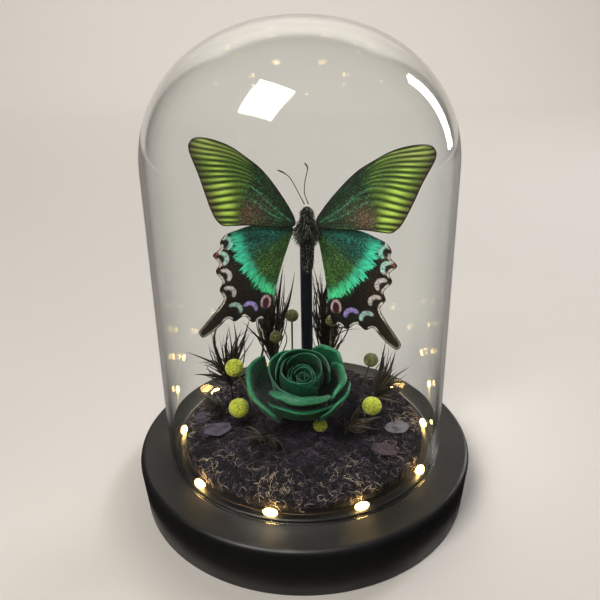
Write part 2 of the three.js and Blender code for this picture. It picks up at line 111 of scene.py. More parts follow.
class BellColours(bpy.types.PropertyGroup):
    """Colours of the finished pieces"""

    base: bpy.props.FloatVectorProperty(
        name="Base",
        description="Moulded base",
        default=linear("#151516"),
        subtype="COLOR",
        size=4,
        min=0.0,
        max=1.0,
    )
    post: bpy.props.FloatVectorProperty(
        name="Post",
        description="Post that holds the butterfly",
        default=linear("#090b14"),
        subtype="COLOR",
        size=4,
        min=0.0,
        max=1.0,
    )
    band: bpy.props.FloatVectorProperty(
        name="Forewing band",
        description="Bright band of the forewings",
        default=linear("#b3d258"),
        subtype="COLOR",
        size=4,
        min=0.0,
        max=1.0,
    )
    turquoise: bpy.props.FloatVectorProperty(
        name="Hindwing band",
        description="Bright band of the hindwings",
        default=linear("#45d6b0"),
        subtype="COLOR",
        size=4,
        min=0.0,
        max=1.0,
    )
    rose: bpy.props.FloatVectorProperty(
        name="Rose",
        description="Dyed rose petals",
        default=linear("#04402a"),
        subtype="COLOR",
        size=4,
        min=0.0,
        max=1.0,
    )
    # The rims' pale colour is partly worn dye and partly a painted highlight.
    rose_rim: bpy.props.FloatVectorProperty(
        name="Rose rims",
        description="Worn, paler rims of the petals",
        default=linear("#3f8f68"),
        subtype="COLOR",
        size=4,
        min=0.0,
        max=1.0,
    )
    button: bpy.props.FloatVectorProperty(
        name="Button flowers",
        description="Heads of the button flowers",
        default=linear("#b3bb2c"),
        subtype="COLOR",
        size=4,
        min=0.0,
        max=1.0,
    )
    leaf: bpy.props.FloatVectorProperty(
        name="Leaves",
        description="Dark narrow leaves",
        default=linear("#0c0e09"),
        subtype="COLOR",
        size=4,
        min=0.0,
        max=1.0,
    )
    light: bpy.props.FloatVectorProperty(
        name="Bead lights",
        description="Light of the bead lights",
        default=linear("#ffd27d"),
        subtype="COLOR",
        size=4,
        min=0.0,
        max=1.0,
    )


def size(name):
    """A user's size in mm."""
    return getattr(bpy.context.scene.bell_sizes, name) / MM


def tint(name):
    """A user's colour as a shader socket takes it."""
    return tuple(getattr(bpy.context.scene.bell_colours, name))


# ---------------------------------------------------------------- meshes
def place(name, vertices, faces, finish, slot=None, nodes=(), smooth=True, attributes=None):
    """Makes one piece from points in millimetres, with its finish. A piece with a slot is hung from the
    root, and the solids that it stands for are hidden.
    """
    mesh = bpy.data.meshes.new(name)
    mesh.from_pydata((np.asarray(vertices, float) * MM).tolist(), [], [tuple(f) for f in faces])
    mesh.polygons.foreach_set("use_smooth", [smooth] * len(mesh.polygons))
    mesh.materials.append(finish)
    for key, values in (attributes or {}).items():
        values = np.asarray(values, np.float32)
        kind, field = ("FLOAT", "value") if values.ndim == 1 else ("FLOAT_VECTOR", "vector")
        layer = mesh.attributes.new(key, kind, "POINT")
        layer.data.foreach_set(field, values.ravel())
    mesh.update()
    piece = bpy.data.objects.new(name, mesh)
    bpy.context.scene.collection.objects.link(piece)
    if slot:
        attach(piece, "root")
    if nodes:
        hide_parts(*nodes)
    return piece


def lathe(profile, segments):
    """Points and faces of a profile of (radius, height) turned about the upright axis."""
    points = []
    rings = []
    for radius, height in profile:
        if radius == 0:
            rings.append([len(points)] * segments)
            points.append((0, 0, height))
            continue
        rings.append(list(range(len(points), len(points) + segments)))
        for k in range(segments):
            angle = 2 * math.pi * k / segments
            points.append((radius * math.cos(angle), radius * math.sin(angle), height))
    faces = []
    for low, high in zip(rings, rings[1:]):
        for k in range(segments):
            n = (k + 1) % segments
            corners = [low[k], low[n], high[n], high[k]]
            faces.append(tuple(dict.fromkeys(corners)))
    return np.array(points), faces


def grid_faces(rows, columns, offset=0):
    """Faces of a grid of points laid out row by row."""
    k = (np.arange(rows - 1)[:, None] * columns + np.arange(columns - 1)[None, :]).ravel() + offset
    return np.stack([k, k + 1, k + columns + 1, k + columns], 1)


def sheet(surface, normals, thickness):
    """A closed thin sheet about a grid of points: front, back and rim."""
    rows, columns = surface.shape[:2]
    half = thickness[..., None] / 2
    points = np.concatenate([(surface + normals * half), (surface - normals * half)]).reshape(-1, 3)
    count = rows * columns
    loop = list(range(columns))
    loop += [i * columns + columns - 1 for i in range(1, rows)]
    loop += [(rows - 1) * columns + j for j in range(columns - 2, -1, -1)]
    loop += [i * columns for i in range(rows - 2, 0, -1)]
    rim = [(b, a, a + count, b + count) for a, b in zip(loop, loop[1:] + loop[:1])]
    back = grid_faces(rows, columns, count)[:, ::-1]
    return points, grid_faces(rows, columns).tolist() + back.tolist() + rim


def grid_normals(surface):
    """The unit normal at each point of a grid of points."""
    across = np.gradient(surface, axis=1)
    along = np.gradient(surface, axis=0)
    normals = np.cross(across, along)
    return normals / np.maximum(np.linalg.norm(normals, axis=2, keepdims=True), 1e-9)


# Flat ribbons lie open to the front and to above.
RIBBON_FACING = np.array((0.15, -0.6, 0.8))


def strands(paths, widths, sides=2):
    """Thin strands along paths (count, steps, 3): flat ribbons, or round ones with three sides or more."""
    tangent = np.gradient(paths, axis=1)
    tangent /= np.maximum(np.linalg.norm(tangent, axis=2, keepdims=True), 1e-9)
    side = np.cross(tangent, RIBBON_FACING)
    side /= np.maximum(np.linalg.norm(side, axis=2, keepdims=True), 1e-9)
    lift = np.cross(side, tangent)
    count, steps = paths.shape[:2]
    rings = []
    for k in range(sides):
        angle = 2 * math.pi * k / sides
        turn = side * math.cos(angle) + lift * math.sin(angle)
        rings.append(paths + turn * widths[..., None] / 2)
    points = np.stack(rings, 2).reshape(-1, 3)
    start = (np.arange(count)[:, None] * steps + np.arange(steps - 1)[None, :]).ravel() * sides
    faces = []
    for k in range(1 if sides == 2 else sides):
        n = (k + 1) % sides
        faces.append(np.stack([start + k, start + n, start + n + sides, start + k + sides], 1))
    return points, np.concatenate(faces).tolist()


def join(parts):
    """Several (points, faces) as one."""
    points = []
    faces = []
    offset = 0
    for part_points, part_faces in parts:
        points.append(np.asarray(part_points, float))
        faces += [tuple(int(i) + offset for i in face) for face in part_faces]
        offset += len(part_points)
    return np.concatenate(points), faces


def tube(path, radius, sides):
    """A round tube with closed ends along a path (steps, 3)."""
    path = np.asarray(path, float)
    radius = np.broadcast_to(np.asarray(radius, float), len(path))
    tangent = np.gradient(path, axis=0)
    tangent /= np.linalg.norm(tangent, axis=1, keepdims=True)
    guide = np.array([0, 0, 1.0]) if abs(tangent[0][2]) < 0.8 else np.array([0, 1.0, 0])
    side = np.cross(tangent, guide)
    side /= np.linalg.norm(side, axis=1, keepdims=True)
    lift = np.cross(side, tangent)
    angles = np.arange(sides) * 2 * math.pi / sides
    ring = side[:, None] * np.cos(angles)[None, :, None] + lift[:, None] * np.sin(angles)[None, :, None]
    points = (path[:, None] + ring * radius[:, None, None]).reshape(-1, 3)
    faces = []
    for low in range(0, (len(path) - 1) * sides, sides):
        for k in range(sides):
            n = (k + 1) % sides
            faces.append((low + k, low + n, low + sides + n, low + sides + k))
    faces.append(tuple(range(sides))[::-1])
    faces.append(tuple(range((len(path) - 1) * sides, len(path) * sides)))
    return points, faces


# Between which of the four knots each of the three rounds of mixing runs.
KNOT_PAIRS = (((0, 1), (1, 2), (2, 3)), ((0, 2), (1, 3)), ((1, 2),))


def smooth_curve(corners, steps, closed=False):
    """A smooth curve through corners, by centripetal spacing."""
    corners = np.asarray(corners, float)
    if closed:
        ring = np.concatenate([corners[-1:], corners, corners[:2]])
    else:
        ring = np.concatenate([[2 * corners[0] - corners[1]], corners, [2 * corners[-1] - corners[-2]]])
    curve = []
    for i in range(len(ring) - 3):
        p = ring[i : i + 4]
        knots = np.concatenate([[0], np.cumsum(np.linalg.norm(np.diff(p, axis=0), axis=1) ** 0.5)])
        for t in np.linspace(knots[1], knots[2], steps, endpoint=False):
            level = list(p)
            for pairs in KNOT_PAIRS:
                for k, (low, high) in enumerate(pairs):
                    share = (t - knots[low]) / (knots[high] - knots[low])
                    level[k] = level[k] * (1 - share) + level[k + 1] * share
            curve.append(level[0])
    if not closed:
        curve.append(corners[-1])
    return np.array(curve)


def distance_to(points, line):
    """Distance of each flat point from a polyline."""
    a, b = line[:-1], line[1:]
    span = b - a
    offset = points[:, None] - a[None]
    share = np.clip((offset * span).sum(2) / np.maximum((span**2).sum(1), 1e-9), 0, 1)
    return np.linalg.norm(offset - share[..., None] * span, axis=2).min(1)


def step(low, high, value):
    """0 below low, 1 above high, and smooth between."""
    share = np.clip((value - low) / (high - low), 0, 1)
    return share * share * (3 - 2 * share)


# ---------------------------------------------------------------- materials
def add(tree, kind, *values, output=0, **named):
    """Adds a shader node and gives back one of its outputs.

    The values go to its inputs in order. A name with a capital is an input too, and any other is a setting.
    """
    node = tree.nodes.new(f"ShaderNode{kind}")
    inputs = dict(enumerate(values))
    for key, value in named.items():
        if key[0].isupper():
            inputs[key] = value
        else:
            setattr(node, key, value)
    for key, value in inputs.items():
        if isinstance(value, bpy.types.NodeSocket):
            tree.links.new(value, node.inputs[key])
        else:
            node.inputs[key].default_value = value
    return node.outputs[output]


# Settings that many nodes share: a range with soft ends, a product and a difference.
SOFT = {"interpolation_type": "SMOOTHSTEP"}
TIMES = {"operation": "MULTIPLY"}
LESS = {"operation": "SUBTRACT"}


def material(name, **inputs):
    """A material with one Principled shader. Input names are its sockets', with _ for a space."""
    made = bpy.data.materials.new(name)
    made.use_nodes = True
    shader = made.node_tree.nodes["Principled BSDF"]
    for key, value in inputs.items():
        shader.inputs[key.replace("_", " ")].default_value = value
    return made, made.node_tree, shader


# ---------------------------------------------------------------- base
BASE_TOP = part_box("glass_dome")[0].z / MM - 0.3
BASE_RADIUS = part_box("base")[1].x / MM
FOOT_RADIUS = BASE_RADIUS - 2.2
COLLAR = {"outer": 56.2, "inner": 53.0, "top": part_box("base")[1].z / MM, "floor": 23.2}
# The recess for the battery cover in the underside: its gap round the cover, corners and ceiling, in mm.
RECESS_GAP = Vector((0.3, 0.3, 0))
RECESS_CORNER = 4
RECESS_CEILING = 2.2


def rounded_box(low, high, corner, bottom, top):
    """Points and faces of an upright plate with rounded corners."""
    outline = []
    for x, y, start in ((1, 1, 0), (-1, 1, 90), (-1, -1, 180), (1, -1, 270)):
        centre = (
            (low[0] + high[0]) / 2 + x * ((high[0] - low[0]) / 2 - corner),
            (low[1] + high[1]) / 2 + y * ((high[1] - low[1]) / 2 - corner),
        )
        for k in range(7):
            angle = math.radians(start + 15 * k)
            outline.append((centre[0] + corner * math.cos(angle), centre[1] + corner * math.sin(angle)))
    count = len(outline)
    points = [(x, y, z) for z in (bottom, top) for x, y in outline]
    faces = [tuple(range(count))[::-1], tuple(range(count, 2 * count))]
    faces += [(k, (k + 1) % count, count + (k + 1) % count, count + k) for k in range(count)]
    return points, faces


def black_plastic():
    # Injection-moulded black ABS with a fine satin texture: a soft grey sheen and no mirror image. The
    # pits of the texture are 0.1 mm wide and are drawn as 0.4 mm, so that they show.
    made, tree, shader = material(
        "satin black plastic", Base_Color=tint("base"), IOR=1.5, Specular_IOR_Level=0.32
    )
    here = add(tree, "TexCoord", output="Object")
    handling = add(tree, "TexNoise", Vector=here, Scale=1 / (26.3 * MM), Detail=4.0, Roughness=0.55)
    wear = add(tree, "MapRange", handling, 0.35, 0.7, 0.36, 0.5, **SOFT)
    tree.links.new(wear, shader.inputs["Roughness"])
    grain = add(tree, "TexNoise", Vector=here, Scale=1 / (0.385 * MM), Detail=2.0, Roughness=0.55)
    normal = add(tree, "Bump", Height=grain, Distance=0.02 * MM, Strength=0.5)
    tree.links.new(normal, shader.inputs["Normal"])
    return made


def plated_steel():
    # Zinc-plated steel screw: a bright grey metal with a brushed haze.
    made, _, _ = material("plated steel", Base_Color=linear("#9a9ca1"), Metallic=1.0, Roughness=0.32)
    return made


def build_base():
    fillet = 2.4
    profile = [(0, 0), (FOOT_RADIUS, 0), (FOOT_RADIUS + 0.45, 0.15), (FOOT_RADIUS + 0.7, 0.7)]
    for k in range(13):
        angle = math.radians(7.5 * k)
        ring = BASE_RADIUS - fillet + fillet * math.cos(angle)
        profile.append((ring, BASE_TOP - fillet + fillet * math.sin(angle)))
    outer, inner, top, floor = (COLLAR[key] for key in ("outer", "inner", "top", "floor"))
    profile += [(outer + 0.3, BASE_TOP), (outer, BASE_TOP + 0.2), (outer, top - 0.4), (outer - 0.4, top)]
    profile += [(inner + 0.3, top), (inner, top - 0.2), (inner, floor), (0, floor)]
    plastic = black_plastic()
    body = place("base_moulding", *lathe(profile, 160), plastic, "base", ["base"])
    cover_low, cover_high = (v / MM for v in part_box("battery_cover"))
    low, high = cover_low - RECESS_GAP, cover_high + RECESS_GAP
    cut = rounded_box(low, high, RECESS_CORNER, -1, RECESS_CEILING)
    cutter = place("recess_cutter", *cut, plastic, smooth=False)
    recess = body.modifiers.new("battery recess", "BOOLEAN")
    recess.object = cutter
    recess.operation = "DIFFERENCE"
    recess.solver = "EXACT"
    shape = bpy.data.meshes.new_from_object(body.evaluated_get(bpy.context.evaluated_depsgraph_get()))
    body.modifiers.clear()
    body.data = shape
    bpy.data.objects.remove(cutter)
    keep_edges(body)
    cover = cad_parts["battery_cover"]
    cover.data.materials.clear()
    cover.data.materials.append(plastic)
    soften(cover, 0.35)
    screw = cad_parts["battery_cover_screw"]
    screw.data.materials.clear()
    screw.data.materials.append(plated_steel())
    soften(screw, 0.3)


# An edge that folds by more than this stays crisp under smooth shading, and can be rounded.
CRISP = math.radians(40)


def keep_edges(piece):
    """Keeps the piece's sharper edges crisp under smooth shading."""
    piece.data.set_sharp_from_angle(angle=CRISP)


def soften(piece, width):
    """Rounds the piece's edges a little."""
    edge = piece.modifiers.new("soft edges", "BEVEL")
    edge.width = width * MM
    edge.segments = 2
    edge.limit_method = "ANGLE"
    edge.angle_limit = CRISP


# ---------------------------------------------------------------- bell
BELL_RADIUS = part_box("glass_dome")[1].x / MM
BELL_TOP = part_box("glass_dome")[1].z / MM
BELL_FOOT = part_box("glass_dome")[0].z / MM
BELL_SPRING = 146.5
CAP_POWER = 2.1


def bell_line(inset, steps):
    """The bell's section from the spring of its cap to its crown, that far in from the outer face."""
    line = []
    for k in range(steps + 1):
        angle = math.radians(90 * k / steps)
        line.append(
            (
                (BELL_RADIUS - inset) * math.cos(angle) ** (2 / CAP_POWER) if k < steps else 0,
                BELL_SPRING + (BELL_TOP - BELL_SPRING - inset) * math.sin(angle) ** (2 / CAP_POWER),
            )
        )
    return line


def clear_glass():
    # Mould-blown soda-lime glass, fire-polished: clear, with bright rims where the wall is seen edge on.
    made, _, _ = material(
        "clear glass", Base_Color=linear("#fbfdfc"), Roughness=0.0, IOR=1.5, Transmission_Weight=1.0
    )
    return made


def build_bell():
    wall = size("glass_wall")
    outer = [(BELL_RADIUS, BELL_FOOT + 6), (BELL_RADIUS, 60), (BELL_RADIUS, 100), *bell_line(0, 40)]
    inner = [(BELL_RADIUS - wall, BELL_FOOT + 6), (BELL_RADIUS - wall, 60), (BELL_RADIUS - wall, 100)]
    inner += bell_line(wall, 40)
    lip = []
    for k in range(9):
        angle = math.radians(180 + 22.5 * k)
        middle = BELL_RADIUS - wall / 2
        lip.append((middle + wall / 2 * math.cos(angle), BELL_FOOT + wall / 2 * (1 + math.sin(angle))))
    profile = inner[::-1] + lip + outer
    bell = place("glass_bell", *lathe(profile, 192), clear_glass(), "glass", ["glass_dome"])
    bell.visible_shadow = False


# ---------------------------------------------------------------- moss
MOSS_RADIUS = 52.4
MOSS_RIM = 27.5
MOSS_CROWN = 34.5
MOSS_FLOOR = 23.6
# How far the painted glow of a bead light reaches on the moss, in mm: fibres near a bead are painted paler.
PAINTED_GLOW_REACH = 17


def moss_height(x, y):
    """The height of the moss bed's surface in mm."""
    radius = np.hypot(x, y)
    rise = np.cos(np.minimum(1, radius / MOSS_RADIUS) * math.pi / 2) ** 0.8
    ripple = np.sin(0.23 * x + 1.1) * np.sin(0.21 * y + 0.4) + np.sin(0.37 * (x + y))
    return MOSS_RIM + (MOSS_CROWN - MOSS_RIM) * rise + 0.9 * ripple * rise


def wander(rng, count, steps, stride, turn):
    """Flat wandering paths: headings that drift at random."""
    heading = rng.uniform(0, 2 * math.pi, (count, 1)) + np.cumsum(
        rng.normal(0, turn, (count, steps)) + rng.normal(0, turn * 0.7, (count, 1)), 1
    )
    move = np.stack([np.cos(heading), np.sin(heading)], 2) * stride
    return np.cumsum(move, 1) - move[:, :1]


# How far a fibre drops where it would reach past the rim, in mm for each bed radius, and how high it
# may rise over the bed.
RIM_DROP = 45
FIBRE_RISE = 1.6
# The height in the bed at which stalks start, in mm.
STALK_FOOT = 28.0


def moss_fibres(rng, count, reach, low, high, steps=8):
    """Paths of curled fibres that lie in the bed's top layer, and hang down over its rim."""
    radius = reach * np.sqrt(rng.uniform(0, 1, count))
    angle = rng.uniform(0, 2 * math.pi, count)
    start = np.stack([radius * np.cos(angle), radius * np.sin(angle)], 1)
    fibre = size("fibre_length")
    stride = rng.uniform(0.45, 1.0, (count, 1, 1)) * fibre / steps
    flat = start[:, None] + wander(rng, count, steps, stride, 0.5)
    beyond = np.maximum(1, np.linalg.norm(flat, axis=2, keepdims=True) / MOSS_RADIUS)
    flat = flat / beyond
    arch = np.sin(np.linspace(0.1, 1, steps)[None] * math.pi) * rng.uniform(0.2, 2.2, (count, 1))
    drop = (beyond[..., 0] - 1) * RIM_DROP
    height = moss_height(flat[..., 0], flat[..., 1]) + rng.uniform(low, high, (count, 1)) + arch - drop
    height = np.clip(height, MOSS_FLOOR + 0.7, moss_height(flat[..., 0], flat[..., 1]) + FIBRE_RISE)
    return np.concatenate([flat, height[..., None]], 2)


def moss_bed_finish():
    # Preserved moss dyed purple-black: dull and matted, in tufts of 4 mm. The black between the tufts and in
    # the hollows of the fine bump is painted shade.
    made, tree, shader = material("dyed moss bed", Roughness=0.95)
    here = add(tree, "TexCoord", output="Object")
    tuft = add(tree, "TexNoise", Vector=here, Scale=1 / (3.85 * MM), Detail=5.0, Roughness=0.55)
    fine = add(tree, "TexNoise", Vector=here, Scale=1 / (0.667 * MM), Detail=3.0, Roughness=0.55)
    tuft_clear_of_painted_shade = add(tree, "MapRange", tuft, 0.4, 0.65, **SOFT)
    base = add(tree, "MixRGB", tuft_clear_of_painted_shade, linear("#09070b"), linear("#241d2a"))
    # Painted shade: darker where the fine bump is low.
    dark = add(tree, "MixRGB", add(tree, "MapRange", fine, 0.35, 0.6, **SOFT), linear("#050406"), base)
    tree.links.new(dark, shader.inputs["Base Color"])
    tree.links.new(add(tree, "Bump", Height=fine, Distance=0.6 * MM), shader.inputs["Normal"])
    return made


def moss_fibre_finish():
    # A dried moss fibre: matt, from black over plum to the straw colour of one that took no dye. Fibres near
    # the bead lights are also painted paler, as a painted glow.
    made, tree, shader = material("moss fibre", Roughness=0.75, Specular_IOR_Level=0.2)
    tone = add(tree, "Attribute", output="Fac", attribute_name="tone")
    dyed = add(tree, "MapRange", tone, 0.15, 0.6, **SOFT)
    plum = add(tree, "MixRGB", dyed, linear("#020203"), linear("#3b3042"))
    straw = add(tree, "MixRGB", add(tree, "MapRange", tone, 0.6, 0.95, **SOFT), plum, linear("#b0a184"))
    tree.links.new(straw, shader.inputs["Base Color"])
    return made


# Two layers of fibres: their piece, how many, the lowest and the highest in the bed in mm, how many are
# pale and how wide a fibre is in mm.
MOSS_LAYERS = (
    ("moss_fibres", 8500, -1.2, 0.3, 0.4, 0.4),
    ("moss_threads", 8000, 0.1, 1.2, 0.85, 0.26),
)


def fibre_tones(rng, x, y, share):
    """How pale each fibre is: by chance, by the clump it lies in, and painted paler near a bead light, as a
    painted glow.
    """
    drift = 0.5 + 0.5 * np.sin(0.21 * x + 1.3) * np.sin(0.19 * y - 0.8)
    clump = np.sin(1.1 * x + 2 * np.sin(0.31 * y)) * np.sin(1.2 * y + 2 * np.sin(0.37 * x))
    drift = drift + 0.9 * clump
    # Painted light: fibres near a bead light are made paler, a painted glow that stays when the lights are
    # off.
    beads = LIGHT_RING * np.exp(1j * np.radians(BEAD_AZIMUTHS))
    near = np.exp(-((np.abs((x + 1j * y)[:, None] - beads).min(1) / PAINTED_GLOW_REACH) ** 2))
    chance = rng.beta(0.7, 0.9 / share, len(x))
    return np.clip(chance + 0.3 * (drift - 0.5), 0, 1) * (0.66 + 0.34 * near)


def build_moss():
    rng = np.random.default_rng(7)
    rings = 60
    side = MOSS_RADIUS - 1.2
    skirt = MOSS_FLOOR + 0.8
    profile = [(0, MOSS_FLOOR), (side - 0.2, MOSS_FLOOR)]
    profile += [(side * (1 - k / rings) ** 0.8, skirt) for k in range(rings)]
    points, faces = lathe([*profile, (0, skirt)], 150)
    upper = points[:, 2] > MOSS_FLOOR + 0.4
    x, y = points[upper, 0], points[upper, 1]
    lumps = np.sin(0.9 * x + 2 * np.sin(0.5 * y)) * np.sin(0.8 * y + 2 * np.sin(0.6 * x))
    points[upper, 2] = moss_height(x, y) - 1.3 + lumps
    place("moss_ground", points, faces, moss_bed_finish(), "moss", ["moss_bed"])
    fibre = moss_fibre_finish()
    for name, count, low, high, share, width in MOSS_LAYERS:
        paths = moss_fibres(rng, count, MOSS_RADIUS + 1.5, low, high)
        taper = np.interp(np.linspace(0, 1, paths.shape[1]), [0, 0.3, 1], [0.7, 1, 0.45])
        widths = np.tile(taper, (len(paths), 1)) * rng.uniform(0.6, 1.1, (len(paths), 1)) * width
        points, faces = strands(paths, widths)
        tones = fibre_tones(rng, paths[:, 3, 0], paths[:, 3, 1], share)
        tones = np.repeat(tones, paths.shape[1] * 2)
        place(name, points, faces, fibre, "moss", attributes={"tone": tones})


# ---------------------------------------------------------------- wings
# Outlines of the right-hand wings in the wing's plane, from the hinge: outwards, then up, in mm.
FORE_OUTLINE = [
    (3.7, 3.2), (10.1, 12.6), (20.1, 23.6), (26.5, 28), (33, 31.8), (38.1, 33.7), (43.5, 34.7),
    (48, 34.4), (49.9, 32.3), (49.9, 29.6), (48.5, 26.1), (46, 20.8), (41.9, 10.8), (39.8, 6.1),
    (37.4, 2), (34.4, -0.4), (30.2, -0.4), (22.2, 0), (12.8, -0.5), (3.7, 0.5),
]
HIND_OUTLINE = [
    (3.8, -0.8), (12, -0.2), (22.2, -0.8), (28, -3.1), (32.8, -5.4), (34.6, -8.4), (34.2, -11.2),
    (37.1, -14.6), (34.1, -18.2), (35.3, -21.8), (32, -26.4), (33, -30), (30.8, -34), (33.8, -40),
    (37.9, -46), (40.3, -50.4), (38.6, -52.7), (35.4, -51), (31, -46.8), (28, -43.4), (24.8, -44.8),
    (21, -42.2), (16.7, -45.1), (13.2, -43), (10.8, -43.4), (9.4, -38), (8, -27.4), (6.2, -15),
    (4.2, -5),
]
HINGE = Vector((2.6, 7, 119))
DIHEDRAL = math.radians(15)
ROOT_CLEARANCE = 3.7
LEFT_SCALE = 0.955
LEFT_SHIFT = 1.8
WINGS = {
    "forewing_right": {"side": 1, "sweep": 0, "scale": 1, "shift": 0, "depth": 0.4},
    "forewing_left": {"side": -1, "sweep": 7.6, "scale": LEFT_SCALE, "shift": LEFT_SHIFT, "depth": 0.4},
    "hindwing_right": {"side": 1, "sweep": 0, "scale": 1, "shift": 0, "depth": 1.45},
    "hindwing_left": {"side": -1, "sweep": 8.7, "scale": LEFT_SCALE, "shift": LEFT_SHIFT, "depth": 1.45},
}
# Veins and folds of the forewing, lowest first: where each leaves the cell, and where it meets the margin.
FORE_VEINS = [
    ((20, 1.2), (35.5, 0.9)), ((22, 3.2), (38, 3)), ((24, 6.4), (39.5, 5.6)), ((24.4, 9.6), (40.6, 7.9)),
    ((25, 12.4), (41.6, 10.5)), ((24.5, 15), (43, 13.2)), ((25, 17.4), (44.3, 16)),
    ((25.3, 18.9), (45.6, 18.8)), ((25.7, 20.4), (46.8, 21.4)), ((26, 22), (47.8, 23.8)),
    ((27, 23.8), (48.9, 26.2)), ((28, 25.4), (49.7, 28.7)), ((28.5, 26.8), (50, 31)),
    ((28, 28), (48.8, 33.2)), ((26.5, 28.2), (45, 34.9)),
]
# Veins of the hindwing from the outer corner round to the inner one, in the same way.
HIND_VEINS = [
    ((14, -2.2), (30, -3.6)), ((15, -6.5), (34.6, -8.4)), ((17, -10), (37.1, -14.6)),
    ((18, -14), (35.3, -21.8)), ((17.5, -18), (33, -30)), ((16, -20.5), (39.4, -51.5)),
    ((13, -20), (24.8, -44.8)), ((10, -17), (16.7, -45.1)), ((6.5, -12), (10.8, -43.4)),
]
# Two pale green lines along the veins that bound the forewing's cell.
FORE_RAYS = [
    [(5.5, 2.4), (13.9, 8.2), (20.8, 14.3), (26.1, 17.5)],
    [(9.0, 3.0), (13.9, 4.9), (20.0, 9.0), (24.9, 11.8)],
]
HIND_ROOT = np.array((4.0, -2.0))
# The bright band of the forewing at six heights: its inner edge, its brightest line and the margin.
BAND_HEIGHTS = (3.0, 8.2, 14.7, 20.8, 26.5, 31.0)
BAND_INNER = (30.5, 30.4, 28.2, 25.8, 27.6, 30.5)
BAND_PEAK = (33.2, 35.0, 36.9, 38.4, 41.0, 43.8)
BAND_MARGIN = (38.4, 40.8, 43.6, 46.2, 48.9, 50.2)
# The turquoise band of the hindwing: angle below the outward line in degrees, and distance from the root.
TURQUOISE_ANGLES = (4, 8, 21, 36, 50, 62, 71, 78, 86)
TURQUOISE_REACH = (24.5, 25.2, 25.0, 25.2, 26.0, 27.4, 28.8, 29.6, 30.0)
# The crescents along the hindwing's margin: place, size, colour of the arch and colour of its far side.
LUNULES = [
    ((31.4, -8.8), 2.9, "#8fd6c8", "#7a5740"),
    ((32.8, -15.6), 3.1, "#b5dcd6", "#a5594a"),
    ((30.8, -23.0), 3.0, "#d8d2d0", "#3a2620"),
    ((28.3, -30.6), 3.0, "#cfc9c6", "#14110f"),
    ((25.0, -38.4), 3.2, "#a9cfcb", "#0c0b0a"),
    ((18.4, -37.6), 3.2, "#a291dc", "#0c0b0a"),
]
EYESPOT = {"at": (11.9, -35.4), "half": (2.3, 3.8), "ring": "#d2b3b8", "heart": "#3d0c18"}


def triangulated(outline, spacing):
    """Flat points and triangles that fill an outline."""
    low, high = outline.min(0), outline.max(0)
    columns = np.arange(low[0], high[0], spacing)
    rows = np.arange(low[1], high[1], spacing * 0.87)
    x, y = np.meshgrid(columns, rows)
    x = x + np.where(np.arange(len(rows)) % 2, spacing / 2, 0)[:, None]
    inner = np.stack([x.ravel(), y.ravel()], 1)
    a, b = outline, np.roll(outline, -1, 0)
    crosses = (a[:, 1] > inner[:, None, 1]) != (b[:, 1] > inner[:, None, 1])
    rise = np.where(np.abs(b[:, 1] - a[:, 1]) < 1e-9, 1e-9, b[:, 1] - a[:, 1])
    at = a[:, 0] + (inner[:, None, 1] - a[:, 1]) * (b[:, 0] - a[:, 0]) / rise
    inside = (crosses & (inner[:, None, 0] < at)).sum(1) % 2 == 1
    inner = inner[inside]
    inner = inner[distance_to(inner, np.vstack([outline, outline[:1]])) > spacing * 0.45]
    points = [Vector(p) for p in np.vstack([outline, inner])]
    ring = list(range(len(outline)))
    made = delaunay_2d_cdt(points, [], [ring], 1, 1e-5)
    return np.array([tuple(p) for p in made[0]]), np.array([tuple(f) for f in made[2]])


def fore_cells(points):
    """Place of each point among the forewing's veins (whole numbers are veins), and the veins' spacing."""
    heights = []
    for k, (start, end) in enumerate(FORE_VEINS):
        beyond = np.array(end) + (np.array(end) - np.array(start)) * 0.3
        line = smooth_curve([(3.7, 0.6 + 0.16 * k), start, end, beyond], 16)
        order = np.argsort(line[:, 0])
        heights.append(np.interp(points[:, 0], line[order, 0], line[order, 1]))
    return among(points[:, 1], np.stack(heights, 1))


def hind_cells(points):
    """The same for the hindwing, whose veins fan out from the root."""
    offset = points - HIND_ROOT
    reach = np.linalg.norm(offset, axis=1)
    angle = np.degrees(np.arctan2(-offset[:, 1], offset[:, 0]))
    lines = []
    for start, end in HIND_VEINS:
        rays = np.array([start, end]) - HIND_ROOT
        angles = np.degrees(np.arctan2(-rays[:, 1], rays[:, 0]))
        lines.append(np.interp(reach, np.linalg.norm(rays, axis=1), angles))
    cell, gap = among(angle, np.stack(lines, 1))
    return cell, np.radians(gap) * reach


def among(value, lines):
    """Where a value lies among rising lines: the number below it plus the share to the next."""
    below = np.clip((lines <= value[:, None]).sum(1) - 1, 0, lines.shape[1] - 2)
    row = np.arange(len(value))
    low, high = lines[row, below], lines[row, below + 1]
    gap = np.maximum(high - low, 1e-3)
    return below + (value - low) / gap, gap


def fore_marks(points):
    """Masks of the forewing's markings."""
    x, y = points.T
    inner = np.interp(y, BAND_HEIGHTS, BAND_INNER)
    peak = np.interp(y, BAND_HEIGHTS, BAND_PEAK)
    margin = np.interp(y, BAND_HEIGHTS, BAND_MARGIN)
    brown = np.exp(-(((x - 24.5) / 7.0) ** 2) - ((y - 5.0) / 5.5) ** 2)
    cell, gap = fore_cells(points)
    edge = distance_to(points, smooth_curve(FORE_OUTLINE, 6, closed=True))
    return {
        "cell": cell,
        "gap": gap,
        "band": step(-5.0, 1.0, x - inner),
        "glow": np.exp(-(((x - peak + 1.2) / 4.0) ** 2)),
        "fade": np.clip((x - peak) / (margin - peak) + 0.35 * step(17, 6, y), 0, 1.2),
        "apex": step(24, 31, y),
        "patch": brown,
        "edge": edge,
        "ray": np.maximum(
            *(np.exp(-((distance_to(points, np.array(ray)) / 0.32) ** 2)) for ray in FORE_RAYS)
        ),
    }


